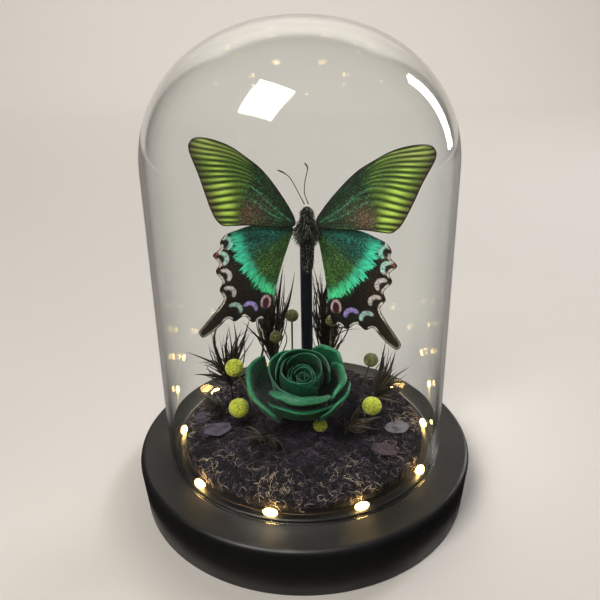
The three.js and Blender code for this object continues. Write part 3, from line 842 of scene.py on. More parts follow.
def hind_marks(points):
    """Masks and spot colours of the hindwing's markings."""
    offset = points - HIND_ROOT
    reach = np.linalg.norm(offset, axis=1)
    angle = np.degrees(np.arctan2(-offset[:, 1], offset[:, 0]))
    beyond = reach - np.interp(angle, TURQUOISE_ANGLES, TURQUOISE_REACH)
    cell, gap = hind_cells(points)
    colours = np.zeros((len(points), 3))
    mask = np.zeros(len(points))
    crescent = np.zeros(len(points))

    def paint(share, value):
        nonlocal mask, colours
        share = np.clip(share, 0, 1)
        colours = colours * (1 - share[:, None]) + np.array(linear(value)[:3]) * share[:, None]
        mask = np.maximum(mask, share)

    for centre, size, arch, far in LUNULES:
        from_spot = points - np.array(centre)
        outward = np.array(centre) - HIND_ROOT
        outward = outward / np.linalg.norm(outward)
        along = from_spot @ outward
        across = from_spot @ np.array((-outward[1], outward[0]))
        distance = np.hypot(along - 0.5, across * 0.92)
        disc = step(size + 0.25, size - 0.25, distance)
        heart = step(size * 0.66 + 0.25, size * 0.66 - 0.25, np.hypot(along - 1.5, across))
        paint(disc * step(1.6, 0.4, along), arch)
        paint(disc * step(0.4, 1.4, along), far)
        paint(heart, "#15100e")
        crescent = np.maximum(crescent, disc * step(1.6, 0.4, along) * (1 - heart))
    from_eye = (points - np.array(EYESPOT["at"])) / np.array(EYESPOT["half"])
    distance = np.linalg.norm(from_eye, axis=1)
    paint(step(1.3, 1.15, distance), "#0b0908")
    paint(step(1.04, 0.94, distance) * step(-0.8, -0.1, from_eye[:, 1]), EYESPOT["ring"])
    paint(step(0.74, 0.58, distance), EYESPOT["heart"])
    margin = smooth_curve(HIND_OUTLINE[4:24], 6)
    edge = distance_to(points, margin)
    notch = np.abs(cell % 1 - 0.5)
    off_tail = 1 - step(-44.5, -46, points[:, 1])
    fringe = step(1.25, 0.85, edge) * step(0.15, 0.4, edge)
    paint(fringe * step(0.36, 0.26, notch) * off_tail * step(0, 6, angle), "#e4e0da")
    tail = distance_to(points, np.array([(30.5, -41), (36, -47.5), (38.3, -50.8)]))
    on_tail = step(29.5, 32, points[:, 0]) * step(-39, -41, points[:, 1])
    paint(step(0.45, 0.2, tail) * on_tail * 0.4, "#4a5a50")
    paint(step(1.2, 0.8, edge) * step(0.1, 0.4, edge) * on_tail, "#8a8f86")
    return {
        "cell": cell,
        "gap": gap,
        "beyond": beyond,
        "angle": angle / 90,
        "spot": mask,
        "paint": colours,
        "crescent": crescent,
    }


def vein_shade(tree, width):
    """1 on a vein and 0 between veins, and the distance from the nearest vein in mm."""
    here = add(tree, "TexCoord", output="Object")
    cell = add(tree, "Attribute", output="Fac", attribute_name="cell")
    gap = add(tree, "Attribute", output="Fac", attribute_name="gap")
    share = add(tree, "Math", add(tree, "Math", cell, 0.5), operation="FRACT")
    away = add(tree, "Math", add(tree, "Math", share, 0.5, **LESS), operation="ABSOLUTE")
    away = add(tree, "Math", away, gap, **TIMES)
    grain = add(tree, "TexNoise", Vector=here, Scale=1 / (1.11 * MM), Detail=3.0, Roughness=0.55)
    ragged = add(tree, "Math", away, add(tree, "Math", grain, 0.3, **TIMES))
    return add(tree, "MapRange", ragged, 0.1, width, 1.0, 0.0, **SOFT), away


def wing_finish(tree, shader, upper, lower):
    """The upper side's colour in front, the underside's behind, both over the relief of the scales."""
    here = add(tree, "TexCoord", output="Object")
    under = add(tree, "Attribute", output="Fac", attribute_name="under")
    tree.links.new(add(tree, "MixRGB", under, upper, lower), shader.inputs["Base Color"])
    shader.inputs["Sheen Weight"].default_value = 0.08
    shader.inputs["Sheen Roughness"].default_value = 0.4
    # A scale is 0.1 mm long. The relief is drawn 0.26 mm wide, so that it shows.
    relief = add(tree, "TexNoise", Vector=here, Scale=1 / (0.263 * MM), Detail=2.0, Roughness=0.55)
    normal = add(tree, "Bump", Height=relief, Distance=0.12 * MM, Strength=0.7)
    tree.links.new(normal, shader.inputs["Normal"])


def forewing_material():
    # A scaled wing: dark brown-black membrane dusted with metallic green scales, which lie thick in the
    # band between the veins and leave the veins and folds bare. The dust is drawn in grains of 0.7 mm.
    made, tree, shader = material("forewing scales", Roughness=0.5, IOR=1.45)
    here = add(tree, "TexCoord", output="Object")
    mark = {
        name: add(tree, "Attribute", output="Fac", attribute_name=name)
        for name in ("band", "fade", "apex", "ray", "patch", "glow", "edge")
    }
    vein, away = vein_shade(tree, 0.85)
    grain = add(tree, "TexNoise", Vector=here, Scale=1 / (0.714 * MM), Detail=4.0, Roughness=0.8)
    cloud = add(tree, "TexNoise", Vector=here, Scale=1 / (3.03 * MM), Detail=4.0, Roughness=0.55)
    dust = add(tree, "MapRange", grain, 0.5, 0.58, **SOFT)
    thin_dust = add(tree, "Math", dust, 0.8, **TIMES)
    inner = add(tree, "MixRGB", thin_dust, linear("#11150f"), linear("#56704f"))
    green = add(tree, "MixRGB", dust, linear("#12351f"), linear("#3c9a63"))
    streak = add(tree, "Math", add(tree, "MapRange", cloud, 0.42, 0.6, **SOFT), 0.7, **TIMES)
    inner = add(tree, "MixRGB", streak, inner, green)
    inner = add(tree, "MixRGB", add(tree, "Math", vein, 0.85, **TIMES), inner, linear("#0a0e09"))
    broken = add(tree, "MapRange", grain, 0.42, 0.58, 0.1, 0.85, **SOFT)
    inner = add(tree, "MixRGB", add(tree, "Math", mark["ray"], broken, **TIMES), inner, linear("#5cab80"))
    brown = add(tree, "MixRGB", dust, linear("#44332a"), linear("#8f715b"))
    inner = add(tree, "MixRGB", add(tree, "Math", mark["patch"], 0.85, **TIMES), inner, brown)
    # Scales are thickest midway between two veins, where they catch the light as a bright stripe.
    core = add(tree, "MapRange", away, 0.35, 1.1, **SOFT)
    lit = add(tree, "Math", core, mark["glow"], **TIMES)
    mottle = add(tree, "MapRange", grain, 0.35, 0.65, **SOFT)
    middle = add(tree, "MixRGB", mottle, linear("#365019"), linear("#5f7c2c"))
    middle = add(tree, "MixRGB", mark["apex"], middle, linear("#78873f"))
    faded = add(tree, "MapRange", mark["fade"], 0.35, 0.95, **SOFT)
    middle = add(tree, "MixRGB", faded, middle, linear("#4a4426"))
    bright = add(tree, "MixRGB", mark["apex"], tint("band"), linear("#a7b564"))
    scaled = add(tree, "MixRGB", lit, middle, bright)
    browned = add(tree, "MapRange", mark["fade"], 0.2, 0.9, **SOFT)
    line = add(tree, "MixRGB", browned, linear("#1d3d0e"), linear("#1f1a10"))
    lined = add(tree, "MixRGB", add(tree, "Math", vein, 0.95, **TIMES), scaled, line)
    upper = add(tree, "MixRGB", mark["band"], inner, lined)
    border = add(tree, "MapRange", mark["edge"], 0.3, 0.85, 0.9, 0.0, **SOFT)
    upper = add(tree, "MixRGB", border, upper, linear("#12100c"))
    pale = add(tree, "MapRange", mark["band"], 0.1, 0.8, 0.0, 0.6, **SOFT)
    lower = add(tree, "MixRGB", pale, linear("#1d1714"), linear("#8d877a"))
    wing_finish(tree, shader, upper, add(tree, "MixRGB", vein, lower, linear("#14100e")))
    return made


# The strokes of scales on the hindwing are that wide and long in mm. At the band a quarter turn is 39 mm.
STROKE = (0.91, 4.55)
QUARTER_TURN = 39.0


def hindwing_material():
    # The same scales, green-gold and teal over black, with a dense turquoise band that shines like satin.
    made, tree, shader = material("hindwing scales", Roughness=0.46, IOR=1.45)
    here = add(tree, "TexCoord", output="Object")
    mark = {
        name: add(tree, "Attribute", output="Fac", attribute_name=name)
        for name in ("beyond", "angle", "spot", "crescent")
    }
    vein, _ = vein_shade(tree, 0.45)
    grain = add(tree, "TexNoise", Vector=here, Scale=1 / (0.667 * MM), Detail=4.0, Roughness=0.8)
    cloud = add(tree, "TexNoise", Vector=here, Scale=1 / (5.0 * MM), Detail=3.0, Roughness=0.55)
    # The scales lie in strokes that run out from the wing's root.
    arc = add(tree, "Math", mark["angle"], QUARTER_TURN / STROKE[0], **TIMES)
    run = add(tree, "Math", mark["beyond"], 1 / STROKE[1], **TIMES)
    fanned = add(tree, "CombineXYZ", arc, run)
    strokes = add(tree, "TexNoise", Vector=fanned, Scale=1.0, Detail=3.0, Roughness=0.6)
    ragged = add(tree, "Math", add(tree, "Math", strokes, 0.5, **LESS), 11.0, **TIMES)
    reach = add(tree, "Math", mark["beyond"], ragged)
    lower_half = add(tree, "MapRange", mark["angle"], 0.25, 0.6, **SOFT)
    field = add(tree, "MixRGB", lower_half, linear("#2c8577"), linear("#588a3c"))
    speck = add(tree, "MapRange", grain, 0.44, 0.58, 0.0, 0.95, **SOFT)
    field = add(tree, "MixRGB", speck, linear("#0c120d"), field)
    shade = add(tree, "MapRange", cloud, 0.4, 0.65, 0.0, 0.6, **SOFT)
    field = add(tree, "MixRGB", shade, field, linear("#0d2a24"))
    greener = add(tree, "MapRange", mark["angle"], 0.4, 0.85, **SOFT)
    turquoise = add(tree, "MixRGB", greener, tint("turquoise"), linear("#4fe09a"))
    deep = add(tree, "MapRange", strokes, 0.4, 0.62, 0.0, 0.6, **SOFT)
    turquoise = add(tree, "MixRGB", deep, turquoise, linear("#137a66"))
    # The band's inner, outer, lower and upper bounds.
    share = add(tree, "MapRange", reach, -5.4, -1.6, **SOFT)
    outside = add(tree, "MapRange", reach, 0.4, 2.2, 1.0, 0.0, **SOFT)
    lowest = add(tree, "MapRange", mark["angle"], 0.86, 0.96, 1.0, 0.0, **SOFT)
    highest = add(tree, "MapRange", mark["angle"], 0.03, 0.12, **SOFT)
    for bound in (outside, lowest, highest):
        share = add(tree, "Math", share, bound, **TIMES)
    upper = add(tree, "MixRGB", share, field, turquoise)
    # Beyond the band: a dusting of green, then brown specks towards the outer corner.
    specks = add(tree, "MapRange", grain, 0.5, 0.62, **SOFT)
    corner = add(tree, "MapRange", mark["angle"], 0.35, 0.8, 0.45, 0.0, **SOFT)
    brown = add(tree, "Math", specks, corner, **TIMES)
    rim = add(tree, "MixRGB", brown, linear("#0a0908"), linear("#8a5c48"))
    dust = add(tree, "MapRange", grain, 0.56, 0.64, **SOFT)
    dusted = add(tree, "MixRGB", dust, linear("#0a0908"), linear("#1d6a4a"))
    rim = add(tree, "MixRGB", add(tree, "MapRange", reach, 1.0, 6.0, **SOFT), dusted, rim)
    upper = add(tree, "MixRGB", add(tree, "MapRange", reach, 0.6, 2.4, **SOFT), upper, rim)
    upper = add(tree, "MixRGB", add(tree, "Math", vein, 0.7, **TIMES), upper, linear("#0a0d0a"))
    # The spots, with frayed edges and a grey mottle.
    frayed = add(tree, "Math", add(tree, "Math", grain, 0.5, **LESS), 1.6, **TIMES)
    spot = add(tree, "MapRange", add(tree, "Math", mark["spot"], frayed), 0.35, 0.65, **SOFT)
    paint = add(tree, "Attribute", output="Vector", attribute_name="paint")
    mottle = add(tree, "TexNoise", Vector=here, Scale=1 / (1.11 * MM), Detail=4.0, Roughness=0.7)
    mottle = add(tree, "MapRange", mottle, 0.42, 0.62, 0.0, 0.6, **SOFT)
    upper = add(tree, "MixRGB", spot, upper, add(tree, "MixRGB", mottle, paint, linear("#1d2422")))
    pale = add(tree, "MapRange", grain, 0.55, 0.68, 0.0, 0.45, **SOFT)
    lower = add(tree, "MixRGB", pale, linear("#1a1513"), linear("#7c766c"))
    arch = add(tree, "MapRange", add(tree, "Math", mark["crescent"], frayed), 0.55, 0.9, 0.0, 0.7, **SOFT)
    lower = add(tree, "MixRGB", arch, lower, linear("#8c4436"))
    wing_finish(tree, shader, upper, add(tree, "MixRGB", vein, lower, linear("#100d0c")))
    return made


def build_wings():
    shapes = {}
    kinds = (
        ("forewing", FORE_OUTLINE, fore_marks, forewing_material),
        ("hindwing", HIND_OUTLINE, hind_marks, hindwing_material),
    )
    for kind, corners, marks, finish in kinds:
        outline = smooth_curve(corners, 6, closed=True)
        flat, faces = triangulated(outline, 0.4)
        shapes[kind] = (flat, faces, marks(flat), finish())
    for name, wing in WINGS.items():
        kind = name.split("_")[0]
        flat, faces, marks, finish = shapes[kind]
        slot = "fore_wing" if kind == "forewing" else "hind_wing"
        points, all_faces = wing_solid(flat, faces, marks, wing)
        doubled = {key: np.concatenate([value, value]) for key, value in marks.items()}
        doubled["under"] = np.repeat([0.0, 1.0], len(flat))
        place(f"{name}_scaled", points, all_faces, finish, slot, [name], attributes=doubled)


def wing_solid(flat, faces, marks, wing):
    """A wing's front, back and edge in the frame, fluted between its veins."""
    angle = math.radians(wing["sweep"])
    x, y = flat.T
    out = wing["shift"] + wing["scale"] * (math.cos(angle) * x - math.sin(angle) * y)
    up = wing["scale"] * (math.sin(angle) * x + math.cos(angle) * y)
    out = np.maximum(out, ROOT_CLEARANCE)
    side = wing["side"]
    outwards = np.array((math.cos(DIHEDRAL), -side * math.sin(DIHEDRAL), 0))
    forward = np.array((-side * math.sin(DIHEDRAL), -math.cos(DIHEDRAL), 0))
    strength = marks.get("band", np.full(len(flat), 0.45))
    flute = 0.15 * np.cos(2 * math.pi * marks["cell"]) * strength
    wave = 0.1 * np.sin(0.21 * x + 0.17 * y)
    depth = -wing["depth"] - flute + wave
    middle = np.array(HINGE) + side * out[:, None] * outwards + up[:, None] * np.array((0, 0, 1.0))
    half = size("wing_thickness") / 2
    front = middle + (depth + half)[:, None] * forward
    back = middle + (depth - half)[:, None] * forward
    count = len(flat)
    corners = flat[faces]
    turn = np.cross(corners[:, 1] - corners[:, 0], corners[:, 2] - corners[:, 0])
    faces = np.where((turn * side > 0)[:, None], faces, faces[:, ::-1])
    edges = np.concatenate([faces[:, [0, 1]], faces[:, [1, 2]], faces[:, [2, 0]]])
    known = {tuple(e) for e in edges.tolist()}
    rim = [(b, a, a + count, b + count) for a, b in known if (b, a) not in known]
    whole = faces.tolist() + (faces[:, ::-1] + count).tolist() + rim
    return np.concatenate([front, back]), whole


# ---------------------------------------------------------------- post and body
def build_post():
    low, high = (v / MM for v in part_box("post"))
    centre = (low + high) / 2
    radius = (high.x - low.x) / 2
    profile = [(0, low.z), (radius - 0.2, low.z), (radius, low.z + 0.2), (radius, high.z - 0.5)]
    profile += [(radius - 0.2, high.z - 0.15), (radius - 0.5, high.z), (0, high.z)]
    points, faces = lathe(profile, 48)
    # Extruded acrylic rod, dyed navy: smooth and glossy, with narrow upright highlights.
    rod, _, shader = material("navy rod", Roughness=0.3, IOR=1.49)
    shader.inputs["Base Color"].default_value = tint("post")
    post = place("navy_post", points + np.array((centre.x, centre.y, 0)), faces, rod, "post", ["post"])
    keep_edges(post)


BODY_PROFILE = [
    (0, 0), (0.8, 0.25), (1.3, 1.0), (1.85, 2.8), (2.2, 5), (2.4, 7.5), (2.45, 10), (2.3, 12),
    (1.95, 13.6), (2.4, 15), (2.8, 16.8), (2.95, 18.6), (2.85, 20.6), (2.3, 22.4), (1.5, 24),
    (1.55, 24.6), (1.85, 25.6), (1.75, 26.8), (1.3, 27.8), (0.7, 28.3), (0, 28.5),
]
BODY_FOOT = Vector((2.6, 7, 99))
# The rings of the abdomen lie this far apart, in mm, up to its waist.
RING_SPACING = 1.75
BRISTLES = 4200


def cuticle():
    # Dry insect cuticle under dark bristle: near black, with a dust of pale green scales, which are drawn
    # in grains of 0.8 mm.
    made, tree, shader = material("insect cuticle", Roughness=0.7, Specular_IOR_Level=0.2)
    here = add(tree, "TexCoord", output="Object")
    grain = add(tree, "TexNoise", Vector=here, Scale=1 / (0.8 * MM), Detail=2.0, Roughness=0.8)
    dust = add(tree, "MapRange", grain, 0.6, 0.68, 0.0, 0.55, **SOFT)
    skin = add(tree, "MixRGB", dust, linear("#050404"), linear("#666a5c"))
    fleck = add(tree, "Attribute", output="Fac", attribute_name="fleck")
    skin = add(tree, "MixRGB", fleck, skin, linear("#7d8272"))
    tree.links.new(skin, shader.inputs["Base Color"])
    tree.links.new(add(tree, "Bump", Height=grain, Distance=0.25 * MM), shader.inputs["Normal"])
    return made


def build_body():
    rng = np.random.default_rng(3)
    heights = np.linspace(0, 28.5, 96)
    profile = np.array(BODY_PROFILE)
    radius = np.interp(heights, profile[:, 1], profile[:, 0])
    abdomen = step(14, 12.5, heights)
    radius = radius * (1 - 0.07 * abdomen * (0.5 + 0.5 * np.cos(2 * math.pi * heights / RING_SPACING)) ** 3)
    radius[0] = radius[-1] = 0
    shell = lathe(list(zip(radius, heights)), 40)
    parts = [(shell[0], shell[1])]
    for side in (-1, 1):
        ball, ball_faces = lathe([(math.sin(a), -math.cos(a)) for a in np.linspace(0, math.pi, 13)], 20)
        ball[np.abs(ball) < 1e-9] = 0
        parts.append((ball * (0.95, 0.9, 1.1) + (side * 1.05, -0.65, 26.1), ball_faces))
    count = BRISTLES
    level = rng.uniform(0.3, 28.2, count)
    around = rng.uniform(0, 2 * math.pi, count)
    reach = np.interp(level, heights, radius)
    root = np.stack([reach * np.cos(around), reach * np.sin(around), level], 1)
    outward = np.stack([np.cos(around), np.sin(around), np.full(count, -0.35)], 1)
    outward += rng.normal(0, 0.3, (count, 3))
    furry = np.interp(level, [0, 12, 14, 20, 24, 28], [0.45, 0.5, 1.5, 1.7, 1.2, 0.9])
    steps = np.linspace(0, 1, 4)[None, :, None]
    furry *= 1 + 0.8 * np.abs(np.cos(around)) * np.exp(-(((level - 19) / 4) ** 2))
    hair = root[:, None] + outward[:, None] * steps * furry[:, None, None]
    hair[..., 2] -= (steps[..., 0] ** 2) * furry[:, None] * 0.5
    hair[..., 2] = np.clip(hair[..., 2], 0.1, 28.5)
    widths = np.linspace(0.2, 0.06, 4)[None].repeat(count, 0)
    parts.append(strands(hair, widths))
    pale = np.where(rng.uniform(0, 1, count) < 0.12, 0.9, 0.0) * step(0.3, 2, level)
    points, faces = join(parts)
    fleck = np.zeros(len(points))
    fleck[len(points) - 8 * count:] = np.repeat(pale, 8)
    trunk = points + np.array(BODY_FOOT)
    place(
        "butterfly_trunk",
        trunk,
        faces,
        cuticle(),
        "insect",
        ["butterfly_body"],
        attributes={"fleck": fleck},
    )


ANTENNAE = {
    "antenna_left": [
        (1.6, 6.4, 128.6), (-0.4, 6.2, 132.7), (-2.4, 6, 136.7), (-4, 5.8, 139.6), (-6.3, 5.6, 141.6),
        (-8.8, 5.4, 142.8),
    ],
    "antenna_right": [
        (3.2, 6.4, 128.6), (1.7, 6, 133.2), (1.9, 5.7, 137.6), (2.6, 5.4, 141), (3, 5.1, 143.8),
        (1.9, 4.9, 145.5),
    ],
}


def feeler_horn():
    # A dry insect feeler: smooth dark horn, mottled from ring to ring.
    made, tree, shader = material("dark feeler", Roughness=0.5)
    here = add(tree, "TexCoord", output="Object")
    mottle = add(tree, "TexNoise", Vector=here, Scale=1 / (1.11 * MM), Detail=3.0, Roughness=0.55)
    tone = add(tree, "MixRGB", mottle, linear("#0e0b09"), linear("#2c231c"))
    tree.links.new(tone, shader.inputs["Base Color"])
    return made


def build_antennae():
    horn = feeler_horn()
    for name, route in ANTENNAE.items():
        path = smooth_curve(route, 12)
        share = np.linspace(0, 1, len(path))
        radius = np.interp(share, [0, 0.1, 0.72, 0.88, 1], [0.24, 0.17, 0.17, 0.36, 0.2])
        ringed = radius * (1 + 0.12 * np.cos(np.arange(len(path)) * math.pi))
        place(f"{name}_feeler", *tube(path, ringed, 10), horn, "insect", [name])


# ---------------------------------------------------------------- rose
ROSE_CENTRE = np.array((-0.1, -8.2, 55.2))
ROSE_TILT = math.radians(18)
ROLL_START = 0.8
ROLL_TURN = math.radians(160)
# From the inside out: azimuth and half-width in degrees, then radius, height of the rim and how far the
# rim rolls over, in mm.
PETALS = [
    (80, 130, 5.25, 5.2, 0.4), (250, 120, 6.65, 6.4, 0.45), (30, 115, 8.5, 9.4, 0.5),
    (200, 105, 10.0, 9.2, 0.6), (95, 100, 11.65, 9.6, 0.9), (190, 80, 13.05, 9.0, 0.5),
    (263, 50, 14.6, 10.0, 2.6), (353, 42, 15.2, 6.2, 1.4), (48, 27, 17.1, 6.4, 1.2),
    (270, 56, 17.1, 3.0, 0.9), (326, 36, 18.6, 3.0, 0.7), (190, 50, 21.2, 5.4, 1.3),
]
# The coiled petals of the bud at the heart, in the same way.
HEART_PETALS = [
    (10, 165, 1.0, 3.4, 0.1),
    (150, 150, 1.9, 3.8, 0.15),
    (285, 135, 2.9, 4.2, 0.2),
    (40, 120, 4.1, 4.8, 0.25),
]
# The bud's petals leave the core at this height, lean in by this share and are this much thinner.
HEART_FOOT = -2.2
HEART_FLARE = -0.1
HEART_THINNING = 0.6
# How far each petal's rim is paled, 1 at the full pale edge: partly worn dye and partly a painted highlight.
RIM_PALING_AND_HIGHLIGHT = (0.9, 0.96, 0.93, 0.9, 1.0, 0.92, 1.0, 1.02, 1.0, 0.98, 1.0, 1.0)
# Ribs across a petal's width.
PETAL_RIBS = 14.64
# The first five petals still close over the heart, and their rims roll less.
INNER_PETALS = 5


def rose_place(points):
    """Turns points about the rose's foot and puts them in their place."""
    sin, cos = math.sin(ROSE_TILT), math.cos(ROSE_TILT)
    turned = np.array(points, float)
    y, z = turned[..., 1].copy(), turned[..., 2].copy()
    turned[..., 1] = y * cos - z * sin
    turned[..., 2] = y * sin + z * cos
    return turned + ROSE_CENTRE


def petal_surface(azimuth, half_width, radius, top, roll, bottom, flare, rng):
    """A grid of one petal with its rim rolled outwards, and the shares of its height and width."""
    rows, columns = 46, 56
    t, s = np.meshgrid(np.linspace(0, 1, rows), np.linspace(-1, 1, columns), indexing="ij")
    rounded = np.minimum(1, t / ROLL_START) * (1 - 0.2 * np.abs(s) ** 3)
    bulge = np.sin(np.minimum(1, rounded / 0.62) * math.pi / 2)
    spread = 0.4 + 0.6 * np.sin(np.minimum(1, rounded / 0.5) * math.pi / 2)
    angle = np.radians(azimuth + s * half_width * spread)
    out = radius * (0.2 + 0.8 * bulge) * (1 + flare * np.maximum(0, rounded - 0.62) * 2)
    height = bottom + (top - roll - bottom) * rounded
    turn = np.maximum(0, (t - ROLL_START) / (1 - ROLL_START)) * ROLL_TURN
    curl = roll * (1 - 0.55 * s**2)
    out = out + curl * (1 - np.cos(turn))
    height = height + curl * np.sin(turn)
    phase = rng.uniform(0, 6)
    ripple = 0.22 * np.sin(s * 8 + phase) * step(0.5, 0.9, t) + 0.2 * np.sin(s * 3.5 + t * 6 + phase)
    lift = 0.6 * np.sin(s * 2.6 + phase) * step(0.4, 0.9, t)
    out = out + ripple * (0.4 if radius < 9 else 1)
    surface = np.stack([out * np.cos(angle), out * np.sin(angle), height + lift], 2)
    return surface, t, s


def rose_material():
    # A real rose, dehydrated and dyed emerald: soft matt petals, translucent at the thin rims, with fine
    # ribs and paler edges, partly worn and partly a painted highlight. Each petal is painted near black low
    # in the cup as painted shade, and lighter towards its rim as painted light.
    made, tree, shader = material(
        "dyed rose petal", Roughness=0.52, IOR=1.4, Sheen_Weight=0.12, Sheen_Roughness=0.35
    )
    here = add(tree, "TexCoord", output="Object")
    rim = add(tree, "Attribute", output="Fac", attribute_name="rim")
    rib = add(tree, "Attribute", output="Fac", attribute_name="rib")
    mottled = add(tree, "TexNoise", Vector=here, Scale=1 / (4.76 * MM), Detail=5.0, Roughness=0.55)
    mottled = add(tree, "MapRange", mottled, 0.3, 0.75, **SOFT)
    deep = add(tree, "MixRGB", mottled, linear("#022519"), tint("rose"))
    # Painted shade: near black low on each petal, down in the cup.
    deep = add(tree, "MixRGB", add(tree, "MapRange", rim, 0.3, 0.75, **SOFT), linear("#01150e"), deep)
    # Painted light: lighter towards the rim.
    rim_lightening = add(tree, "MapRange", rim, 0.3, 0.95, 0.0, 0.7, **SOFT)
    lit_towards_rim = add(tree, "MixRGB", rim_lightening, deep, linear("#0a6540"))
    ragged = add(tree, "TexNoise", Vector=here, Scale=1 / (2.86 * MM), Detail=3.0, Roughness=0.55)
    ragged = add(tree, "Math", rim, add(tree, "Math", ragged, 0.12, **TIMES))
    # Pale rims: partly worn dye, partly a painted highlight.
    wear = add(tree, "MapRange", ragged, 0.98, 1.1, 0.0, 0.75, **SOFT)
    rim_paled_and_highlighted = add(tree, "MixRGB", wear, lit_towards_rim, tint("rose_rim"))
    tree.links.new(rim_paled_and_highlighted, shader.inputs["Base Color"])
    ribs = add(tree, "Math", add(tree, "Math", rib, PETAL_RIBS * math.pi, **TIMES), operation="SINE")
    crinkle = add(tree, "TexNoise", Vector=here, Scale=1 / (1.613 * MM), Detail=4.0, Roughness=0.55)
    uneven = add(tree, "Math", add(tree, "Math", ribs, 0.25, **TIMES), crinkle)
    normal = add(tree, "Bump", Height=uneven, Distance=0.35 * MM, Strength=0.6)
    tree.links.new(normal, shader.inputs["Normal"])
    return made


def stem_bark():
    # The rose's own stem, dried and dyed dark: a woody, dull dark green.
    made, tree, shader = material("dried stem", Roughness=0.8)
    here = add(tree, "TexCoord", output="Object")
    mottle = add(tree, "TexNoise", Vector=here, Scale=1 / (2.38 * MM), Detail=3.0, Roughness=0.55)
    tone = add(tree, "MixRGB", mottle, linear("#0e160c"), linear("#27351c"))
    tree.links.new(tone, shader.inputs["Base Color"])
    return made


def build_rose():
    rng = np.random.default_rng(11)
    finish = rose_material()
    thickness = size("petal_thickness")
    parts, rims, ribs = [], [], []
    for shape in HEART_PETALS:
        surface, t, s = petal_surface(*shape, HEART_FOOT, HEART_FLARE, rng)
        points, faces, rim, rib = petal_solid(surface, thickness * HEART_THINNING, t * 0.85, s)
        parts.append((points, faces))
        rims.append(rim)
        ribs.append(rib)
    points, faces = join(parts)
    extra = {"rim": np.concatenate(rims), "rib": np.concatenate(ribs)}
    place("rose_heart_petals", points, faces, finish, "rose", ["rose_heart"], attributes=extra)
    for i, shape in enumerate(PETALS):
        inner = i < INNER_PETALS
        flare = -0.12 if inner else 0.05
        azimuth, half_width, radius, top, roll = shape
        roll *= 0.3 if inner else 0.9
        surface, t, s = petal_surface(azimuth, half_width, radius, top, roll, petal_foot(i), flare, rng)
        points, faces, rim, rib = petal_solid(surface, thickness, t, s)
        extra = {"rim": rim * RIM_PALING_AND_HIGHLIGHT[i], "rib": rib}
        node = f"rose_petal_{i + 1}"
        place(f"dyed_{node}", points, faces, finish, "rose", [node], attributes=extra)
    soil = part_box("rose_stem")[0].z / MM
    under = rose_place([(0, 0, petal_foot(len(PETALS)) - 1.2)])[0]
    route = smooth_curve([(under[0], under[1], soil), (under[0], under[1], 36), under], 10)
    place("rose_stem_wood", *tube(route, 1.4, 14), stem_bark(), "stem", ["rose_stem"])


def petal_foot(i):
    """Height at which petal number i leaves the rose's core."""
    return -3.2 - 0.95 * i


def petal_solid(surface, thickness, t, s):
    """A petal with thinner rims, in the frame: points, faces, and where each point lies for its finish."""
    side = np.abs(s) ** 6
    edge = np.maximum(t, side * 0.9 * step(0.2, 0.6, t))
    thin = thickness * (1 - 0.55 * step(0.7, 1, edge))
    points, faces = sheet(surface, grid_normals(surface), thin)
    return rose_place(points), faces, np.tile(edge.ravel(), 2), np.tile(s.ravel(), 2)


# ---------------------------------------------------------------- button flowers
BUTTONS = [
    ((-30.4, 4, 55.9), 4.2, (-24, 8)),
    ((-28, -8, 42.9), 4.5, (-26, -4)),
    ((29.4, -8, 42.7), 4.3, (27, -4)),
    ((6.8, -14, 37.4), 3.1, (8, -12)),
    ((-11.8, 13, 66.2), 3.0, (-12, 20)),
    ((-4.6, 15.5, 75.3), 3.1, (-5, 22)),
    ((13.3, 16, 72.2), 2.8, (12, 22)),
    ((30.4, 8, 56.4), 3.4, (26, 10)),
]
# The heads that stand further back get a darker copy of the finish: painted shade.
BUTTONS_IN_PAINTED_SHADE = (4, 5, 6, 7)
# Florets on a head whose radius is 1 mm. A larger head has as many for each square millimetre.
FLORETS = 11
BUTTON_STALK = 0.4


def button_head(radius, florets):
    """A ball of tightly packed florets: points, faces and how deep each point lies between florets."""
    rows, columns = 60, 96
    down = np.linspace(0, math.pi, rows)
    points, faces = lathe([(math.sin(a) if 0 < a < math.pi else 0, -math.cos(a)) for a in down], columns)
    points[np.abs(points) < 1e-9] = 0
    index = np.arange(florets) + 0.5
    level = 1 - 2 * index / florets
    turn = index * math.pi * (1 + 5**0.5)
    ring = np.sqrt(1 - level**2)
    centres = np.stack([ring * np.cos(turn), ring * np.sin(turn), level], 1)
    centres += np.random.default_rng(florets).normal(0, 0.45 / math.sqrt(florets), centres.shape)
    centres /= np.linalg.norm(centres, axis=1, keepdims=True)
    unit = points / np.maximum(np.linalg.norm(points, axis=1, keepdims=True), 1e-9)
    nearest = (unit @ centres.T).max(1)
    away = np.arccos(np.clip(nearest, -1, 1)) / math.sqrt(4 * math.pi / florets)
    height = np.clip(1 - (away / 0.62) ** 2, 0, 1)
    return unit * (radius * (0.91 + 0.09 * height))[:, None], faces, height


